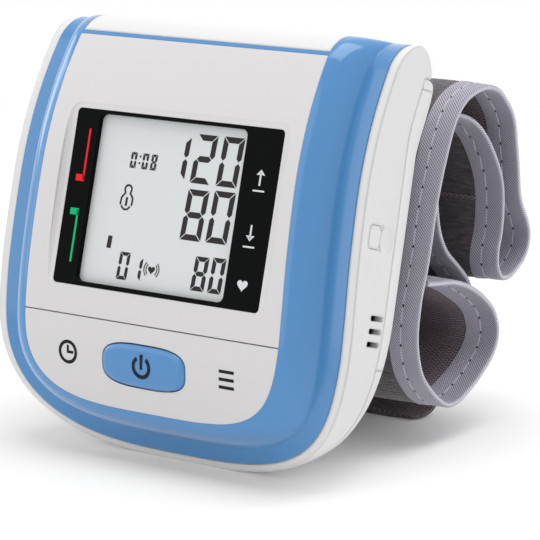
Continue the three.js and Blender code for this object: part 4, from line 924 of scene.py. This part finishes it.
# The clock's two hands and the list's three lines
keyBars = drawAll(barShape, (
    (-17.65, -28.05, -17.65, -26.6, 0.5), (-17.85, -27.8, -16.4, -27.8, 0.5),
    (15.8, -29.25, 19, -29.25, 0.55), (15.8, -27.9, 19, -27.9, 0.55),
    (15.8, -26.55, 19, -26.55, 0.55),
))
addMarks("keyIcons", ringShape(-17.65, -27.8, 1.82, 0.6) + keyBars, faceY, iconInk,
         "blue_trim", "key_panel")
addMarks("powerIcon", ringShape(-0.65, -28.3, 1.72, 0.66, 125, 415)
         + barShape(-0.65, -28.7, -0.65, -26.1, 0.62), onButton, powerInk, "blue_trim",
         "power_button")
print("display built")

# Cuff: its run seen from the side, in thousandths of its depth and height
cuff = {"front": 31.3, "depth": 40, "height": 65, "halfWidth": 33, "legHalf": 28,
        "tailHalf": 20, "tailRound": 6, "clothIn": 1, "clothEnd": 0.992,
        "bindingStart": -0.008, "bindingEnd": 0.93, "turn": 0.535, "arch": 0.66,
        "leg": 0.76, "low": 0.86, "tail": 0.965, "sharp": 50}
cuffRun = [
    (152, 478), (302, 462), (487, 425), (600, 388), (687, 338), (725, 271), (687, 215),
    (585, 170), (462, 136), (358, 113), (273, 113), (198, 137), (125, 175), (52, 226),
    (13, 286), (5, 342), (35, 426), (85, 522), (130, 632), (170, 725), (212, 803), (275, 882),
    (350, 942), (427, 974), (508, 989), (600, 992), (693, 975), (765, 942), (820, 908),
    (853, 869), (875, 782), (905, 648), (973, 574), (993, 528), (968, 482), (900, 445),
    (818, 422), (745, 426), (705, 463), (705, 509), (733, 565), (745, 625), (740, 720),
    (710, 783), (667, 837), (612, 878), (542, 905), (473, 914), (408, 900), (367, 857),
    (358, 778), (360, 678), (387, 598), (452, 531), (565, 472), (657, 426), (727, 377),
    (787, 318), (812, 248), (807, 163), (758, 78), (673, 23), (573, 7), (473, 7),
]
cuffSpots = [
    Vector((cuff["front"] + depth / 1000 * cuff["depth"] + caseShift.y,
            rise / 1000 * cuff["height"]))
    for depth, rise in cuffRun
]
bladder = {"start": 0.05, "end": 0.28, "halfWidth": 24.9, "roundTo": 25, "thick": 1.4,
           "room": 0.3, "rise": 0.06, "fallFrom": 0.27, "fallTo": 0.33, "under": 0.08,
           "least": 0.05, "slimmer": 0.2}


def between(start, end, low, high, t):
    return start * ((high - t) / (high - low)) + end * ((t - low) / (high - low))


# Centripetal curve through the spots
def smoothRun(spots, steps):
    spots = [2 * spots[0] - spots[1]] + spots + [2 * spots[-1] - spots[-2]]
    line = []
    for p0, p1, p2, p3 in zip(spots, spots[1:], spots[2:], spots[3:]):
        t1 = (p1 - p0).length ** 0.5
        t2 = t1 + (p2 - p1).length ** 0.5
        t3 = t2 + (p3 - p2).length ** 0.5
        for k in range(steps):
            t = t1 + (t2 - t1) * k / steps
            middle = between(p1, p2, t1, t2, t)
            before = between(between(p0, p1, 0, t1, t), middle, 0, t2, t)
            after = between(middle, between(p2, p3, t2, t3, t), t1, t3, t)
            line.append(between(before, after, t1, t2, t))
    return line + [spots[-2]]


runLine = smoothRun(cuffSpots, 16)
runSums = [0]
for start, end in zip(runLine, runLine[1:]):
    runSums.append(runSums[-1] + (end - start).length)
cuffLength = runSums[-1]


def runPoint(share):
    wanted = min(share, 1) * cuffLength
    if wanted < 0:
        return runLine[0] + (runLine[1] - runLine[0]).normalized() * wanted
    i = min(bisect_right(runSums, wanted), len(runSums) - 1)
    part = (wanted - runSums[i - 1]) / (runSums[i] - runSums[i - 1])
    return runLine[i - 1].lerp(runLine[i], part)


def runFrame(share, reach=0.3):
    step = reach / cuffLength
    along = (runPoint(share + step) - runPoint(share - step)).normalized()
    return runPoint(share), along


def bandHalf(share):
    half = (
        cuff["halfWidth"]
        - (cuff["halfWidth"] - cuff["legHalf"]) * smoothStep(share, cuff["arch"], cuff["leg"])
        - (cuff["legHalf"] - cuff["tailHalf"]) * smoothStep(share, cuff["low"], cuff["tail"])
    )
    left = (1 - share) * cuffLength
    if left > cuff["tailRound"]:
        return half
    inwards = cuff["tailRound"] - left
    return half - cuff["tailRound"] + sqrt(max(0, cuff["tailRound"] ** 2 - inwards ** 2))


# Room that the air bladder takes between the cloths
def coreAt(share):
    rise = smoothStep(share, 0, bladder["rise"])
    fall = 1 - smoothStep(share, bladder["fallFrom"], bladder["fallTo"])
    return (bladder["thick"] + bladder["room"]) * min(rise, fall)


# The layers are sewn flat along the edges and swell towards the middle of the band
layer = {"thin": 0.3, "thick": 0.6, "edgeOuter": 0.25, "fullOuter": 0.45, "swellFrom": 1.2,
         "swellTo": 9, "between": 0.04, "loose": 0.3}
slack = ((0.2, 37, 60), (0.11, 17, -41))  # height, and length along and across the band


def swellAt(share, x):
    return smoothStep(bandHalf(share) - abs(x), layer["swellFrom"], layer["swellTo"])


def thicknessAt(share, x):
    return layer["thin"] + (layer["thick"] - layer["thin"]) * swellAt(share, x)


def outerFace(share, x):
    full = layer["fullOuter"] - layer["edgeOuter"]
    return -layer["edgeOuter"] - full * swellAt(share, x)


def outerBack(share, x):
    return outerFace(share, x) + thicknessAt(share, x)


def skinBack(share, x):
    swelling = (layer["loose"] + coreAt(share)) * swellAt(share, x)
    return outerBack(share, x) + layer["between"] + swelling


def skinFace(share, x):
    return skinBack(share, x) + thicknessAt(share, x)


# Soft unevenness that all layers of the band share
def slackAt(share, x):
    along = share * cuffLength
    return sum(height * sin(2 * pi * (along / far + x / wide)) for height, far, wide in slack)


def bandPoint(share, x, offset):
    spot, along = runFrame(share)
    offset += slackAt(share, x)
    y = spot.x + along.y * offset
    z = max(0, spot.y - along.x * offset)
    return (x * mm, y * mm, z * mm)


# A body through rings of spots on the band: share, x, offset, and place across the weave
def bandSkin(name, rings, material, slot, *nodes):
    piece = skin(name, [[bandPoint(*spot[:3]) for spot in ring] for ring in rings])
    spots = [spot for ring in rings for spot in ring]
    places = piece.data.uv_layers.new(name="run")
    for loop in piece.data.loops:
        spot = spots[loop.vertex_index]
        places.data[loop.index].uv = (spot[0] * cuffLength, spot[3])
    dress(piece, material, slot, *nodes, sharp=cuff["sharp"])
    return piece


# Cloth ends inside the binding tape, and reaches the edge where the tape has ended
def clothEdge(share):
    return bandHalf(share) - (cuff["clothIn"] if share < cuff["bindingEnd"] else 0)


def bandLayer(name, start, end, near, far, edge, material, slot, node, columns=26):
    rings = []
    for share in spread(start, end, max(8, round((end - start) * cuffLength))):
        xs = [x * edge(share) for x in spread(-1, 1, columns)]
        returning = [x * edge(share) for x in spread(1, -1, columns)]
        rings.append([(share, x, near(share, x), x) for x in xs]
                     + [(share, x, far(share, x), x) for x in returning])
    return bandSkin(name, rings, material, slot, node)


def areaOf(start, end, edge):
    shares = spread(start, end, 200)
    width = sum(2 * edge(share) for share in shares) / len(shares)
    return width * (end - start) * cuffLength * mm * mm


breakShare = 0.5 * gap / cuffLength
for side, near, far, material, slot in (
    ("Outer", outerFace, outerBack, brushed, "brushed_cloth"),
    ("Skin", skinBack, skinFace, woven, "woven_cloth"),
):
    for part, start, end in (("cuff", 0, cuff["turn"] - breakShare),
                             ("strap", cuff["turn"] + breakShare, cuff["clothEnd"])):
        piece = bandLayer(part + side, start, end, near, far, clothEdge, material, slot,
                          f"{part}_{side.lower()}_cloth")
        areaOf(start, end, clothEdge)


def bladderBack(share, x):
    return outerBack(share, x) + bladder["under"]


def bladderFace(share, x):
    roundOff = sqrt(max(0, 1 - (abs(x) / bladder["roundTo"]) ** 8))
    thickness = max(0, coreAt(share) - bladder["slimmer"]) * roundOff
    return bladderBack(share, x) + bladder["least"] + thickness


bladderPiece = bandLayer("bladder", bladder["start"], bladder["end"], bladderBack,
                         bladderFace, lambda share: bladder["halfWidth"], rubber, "rubber",
                         "air_bladder")

# Binding tape folded over each edge, drawn in along its seam, and the seam's stitches
binding = {"width": 5.9, "tape": 0.17, "stitchIn": 3.5, "pitch": 3.6, "dent": 0.1,
           "dentWidth": 0.5, "pucker": 0.45, "fold": 0.35, "clear": 0.01, "foldLength": 0.4,
           "allowance": 2, "spots": (5.1, 4.3, 3.8, 3.5, 3.2, 2.7, 1.8, 1)}
lump = {"sides": ((-0.5, 0), (-0.3, 1), (0.3, 1), (0.5, 0)), "sunk": 0.06, "least": 0.05}
stitch = {"length": 3, "width": 0.3, "height": 0.1, "shift": 0.5}
# Flat dark lumps beside each stitch, painted as the shade in its needle holes
hole = {"length": 0.5, "width": 0.5, "height": 0.05, "shift": 0}


def tapeLift(share, inwards):
    drawn = exp(-(((inwards - binding["stitchIn"]) / binding["dentWidth"]) ** 2))
    pucker = 1 + binding["pucker"] * cos(2 * pi * share * cuffLength / binding["pitch"])
    return binding["tape"] - binding["dent"] * drawn * pucker


# The tape's surface on the band's outer side (-1) or its skin side (1)
def tapeFace(share, x, inwards, way):
    cloth = outerFace(share, x) if way < 0 else skinFace(share, x)
    return cloth + way * tapeLift(share, inwards)


def tapeSection(share, side):
    edge, fold, clear = bandHalf(share), binding["fold"], binding["clear"]
    steps = (binding["width"], *binding["spots"], fold)
    low, high = [[(edge - d, tapeFace(share, edge - d, d, way)) for d in steps]
                 for way in (-1, 1)]
    middle = (low[-1][1] + high[-1][1]) / 2
    reach = (high[-1][1] - low[-1][1]) / 2
    bend = [(edge - fold + fold * cos(turn), middle + reach * sin(turn))
            for turn in spread(-pi / 2, pi / 2, 8)[1:-1]]
    depths = (binding["width"], binding["stitchIn"], binding["spots"][-1])
    inner = [(edge - d, skinFace(share, edge - d) + clear) for d in depths]
    inner += [(edge - d, outerFace(share, edge - d) - clear) for d in depths[::-1]]
    return [(side * max(0, x), offset) for x, offset in low + bend + high[::-1] + inner]


def addBinding(name, side, node):
    rings = []
    for share in spread(cuff["bindingStart"], cuff["bindingEnd"], 560):
        ring, last = [], None
        # The place across the weave is counted from about the middle of the fold, where the
        # twill paints its highlight
        across = -binding["width"] - binding["foldLength"]
        for spot in tapeSection(share, side):
            if last:
                across += hypot(spot[0] - last[0], spot[1] - last[1])
            ring.append((share, *spot, across))
            last = spot
        rings.append(ring)
    return bandSkin(name, rings, tape, "binding_tape", node)


# A small rounded lump lying along the band, on its outer or its skin side
def addLump(vertices, faces, share, x, outwards, form):
    inwards = bandHalf(share) - abs(x)
    faces += ringFaces(len(vertices), 4, 5)
    for end in spread(-1, 1, 4):
        place = share + end * form["length"] / 2 / cuffLength
        base = tapeFace(place, x, inwards, outwards)
        lift = form["height"] * sqrt(max(lump["least"], 1 - end * end))
        for dx, raised in lump["sides"]:
            up = lift if raised else -lump["sunk"]
            vertices.append(bandPoint(place, x + dx * form["width"], base + outwards * up))


def addStitches(name, side, material, form):
    vertices, faces = [], []
    for i in range(1, int(cuffLength * cuff["bindingEnd"] / binding["pitch"])):
        share = (i + form["shift"]) * binding["pitch"] / cuffLength
        x = side * (bandHalf(share) - binding["stitchIn"])
        for outwards in (-1, 1):
            addLump(vertices, faces, share, x, outwards, form)
    piece = addMesh(name, vertices, faces)
    dress(piece, material, "binding_tape", sharp=cuff["sharp"])
    return piece


# Ridge where two lengths of the cloth are joined inside the arch
ridge = {"share": 0.656, "width": 0.9, "height": 0.4, "underTape": 1.2,
         "section": ((-0.5, 0.1), (-0.35, -0.6), (0, -1), (0.35, -0.6), (0.5, 0.1))}


def addClothSeam(name):
    half = clothEdge(ridge["share"]) - binding["width"] + ridge["underTape"]
    rings = []
    for x in spread(-half, half, 90):
        ring = []
        for step, up in ridge["section"]:
            share = ridge["share"] + step * ridge["width"] / cuffLength
            ring.append((share, x, outerFace(share, x) + up * ridge["height"], x))
        rings.append(ring)
    bandSkin(name, rings, woven, "woven_cloth")


addClothSeam("clothSeam")
for side, name, node in ((1, "Right", "edge_binding_right"), (-1, "Left", "edge_binding_left")):
    stitches = addStitches("stitches" + name, side, thread, stitch)
    holes = addStitches("holes" + name, side, needleHoleShade, hole)
    piece = addBinding("binding" + name, side, node)
print("cuff built")

# Finishes of the CAD pieces that stay in view or inside
innerFinish = (
    (greyPlastic, ("chassis", "lcd_holder", "pressure_sensor", "release_valve",
                   "air_manifold", "air_nipple")),
    (darkPlastic, ("clock_key_switch", "power_switch", "memory_key_switch",
                   "processor_chip", "battery_tray", "pump_head", "buzzer", "cuff_plate")),
    (steel, ("case_screw_1", "case_screw_2", "case_screw_3", "contact_link",
             "contact_outer", "contact_inner", "pump_motor")),
    (tubeClear, ("valve_hose", "cuff_hose", "pump_hose", "sensor_hose")),
    (cellJacket, ("battery_outer", "battery_inner")),
    (boardGreen, ("main_board",)),
    (rubber, ("lcd_connector",)),
)
for material, nodes in innerFinish:
    for node in nodes:
        piece = bpy.data.objects[node]
        piece.data.materials.clear()
        piece.data.materials.append(material)
print("finishes set")


def addToScene(name, data, location, direction):
    item = bpy.data.objects.new(name, data)
    bpy.context.collection.objects.link(item)
    item.location = location
    item.rotation_euler = direction.to_track_quat("-Z", "Y").to_euler()
    return item


# Camera, fitted to the photograph's view
shot = {"azimuth": radians(35.287), "elevation": radians(11.987), "lens": 183.37,
        "place": (0.287884, -0.407239, 0.136182), "near": 0.01, "far": 20}
cameraData = bpy.data.cameras.new("camera")
cameraData.sensor_width = 36
cameraData.lens = shot["lens"]
cameraData.clip_start = shot["near"]
cameraData.clip_end = shot["far"]
bpy.context.scene.camera = addToScene("camera", cameraData, shot["place"], Vector((
    -sin(shot["azimuth"]) * cos(shot["elevation"]),
    cos(shot["azimuth"]) * cos(shot["elevation"]),
    -sin(shot["elevation"]),
)))

# The world lights softly, and is plain white where it is seen, mirrored or seen through
studio = {"ambient": 0.46, "backdrop": 1, "aim": Vector((0, 0, 0.04))}
bpy.context.scene.view_settings.view_transform = "Standard"
world = bpy.data.worlds.new("world")
bpy.context.scene.world = world
world.use_nodes = True
tree = world.node_tree
white = (1, 1, 1, 1)
ambient = setInputs(tree.nodes["Background"], {"Color": white, "Strength": studio["ambient"]})
backdrop = addNode(tree, "Background", {"Color": white, "Strength": studio["backdrop"]})
rays = tree.nodes.new("ShaderNodeLightPath").outputs
indirect = mathOf(tree, "MAXIMUM", rays["Is Glossy Ray"], rays["Is Transmission Ray"])
shown = mathOf(tree, "MAXIMUM", rays["Is Camera Ray"], indirect)
choice = addNode(tree, "MixShader", {0: shown, 1: ambient.outputs[0], 2: backdrop.outputs[0]})
setInputs(tree.nodes["World Output"], {"Surface": choice.outputs[0]})

# Each lamp: its name, place, size and watts, and whether reflections show it
lamps = (
    ("front", (-0.6, -0.85, 0.42), 1.3, 3.7, True),
    ("left", (-1.1, -0.1, 0.4), 0.5, 2.2, True),
    ("top", (0.1, 0, 1.1), 0.9, 6.4, True),
    ("side", (1, -0.15, 0.5), 0.6, 0.8, False),
    ("behind", (0.3, 0.6, 0.7), 0.6, 2.6, False),
)
for name, place, size, power, mirrored in lamps:
    data = bpy.data.lights.new(name, "AREA")
    data.shape = "SQUARE"
    data.size = size
    data.energy = power
    lamp = addToScene(name, data, place, studio["aim"] - Vector(place))
    lamp.visible_glossy = mirrored

# Pale floor whose cast shadow near the case is lightened by a share of painted white glow,
# turning to plain white glow farther out
# The glow starts short of the case's place, so even the shadow under the case carries some
# painted light
floorForm = {"half": 9, "glowStart": -0.06, "fadeTo": 0.42}
floorMaterial = makeMaterial("floorWhite", "FDFDFD", 0.9, specular=0)
tree = floorMaterial.node_tree
place = tree.nodes.new("ShaderNodeTexCoord")
distance = tree.nodes.new("ShaderNodeVectorMath")
distance.operation = "LENGTH"
setInputs(distance, {0: place.outputs["Object"]})
glowShare = tree.nodes.new("ShaderNodeMapRange")
glowShare.interpolation_type = "SMOOTHSTEP"
setInputs(glowShare, {"Value": distance.outputs["Value"], "From Min": floorForm["glowStart"],
                 "From Max": floorForm["fadeTo"]})
plain = tree.nodes.new("ShaderNodeEmission")
faded = addNode(tree, "MixShader", {0: glowShare.outputs["Result"],
                                    1: tree.nodes["Principled BSDF"].outputs[0],
                                    2: plain.outputs[0]})
setInputs(tree.nodes["Material Output"], {"Surface": faded.outputs[0]})
half = floorForm["half"]
corners = [(-half, -half, 0), (half, -half, 0), (half, half, 0), (-half, half, 0)]
floor = addMesh("floor", corners, [(0, 1, 2, 3)])
floor.data.materials.append(floorMaterial)
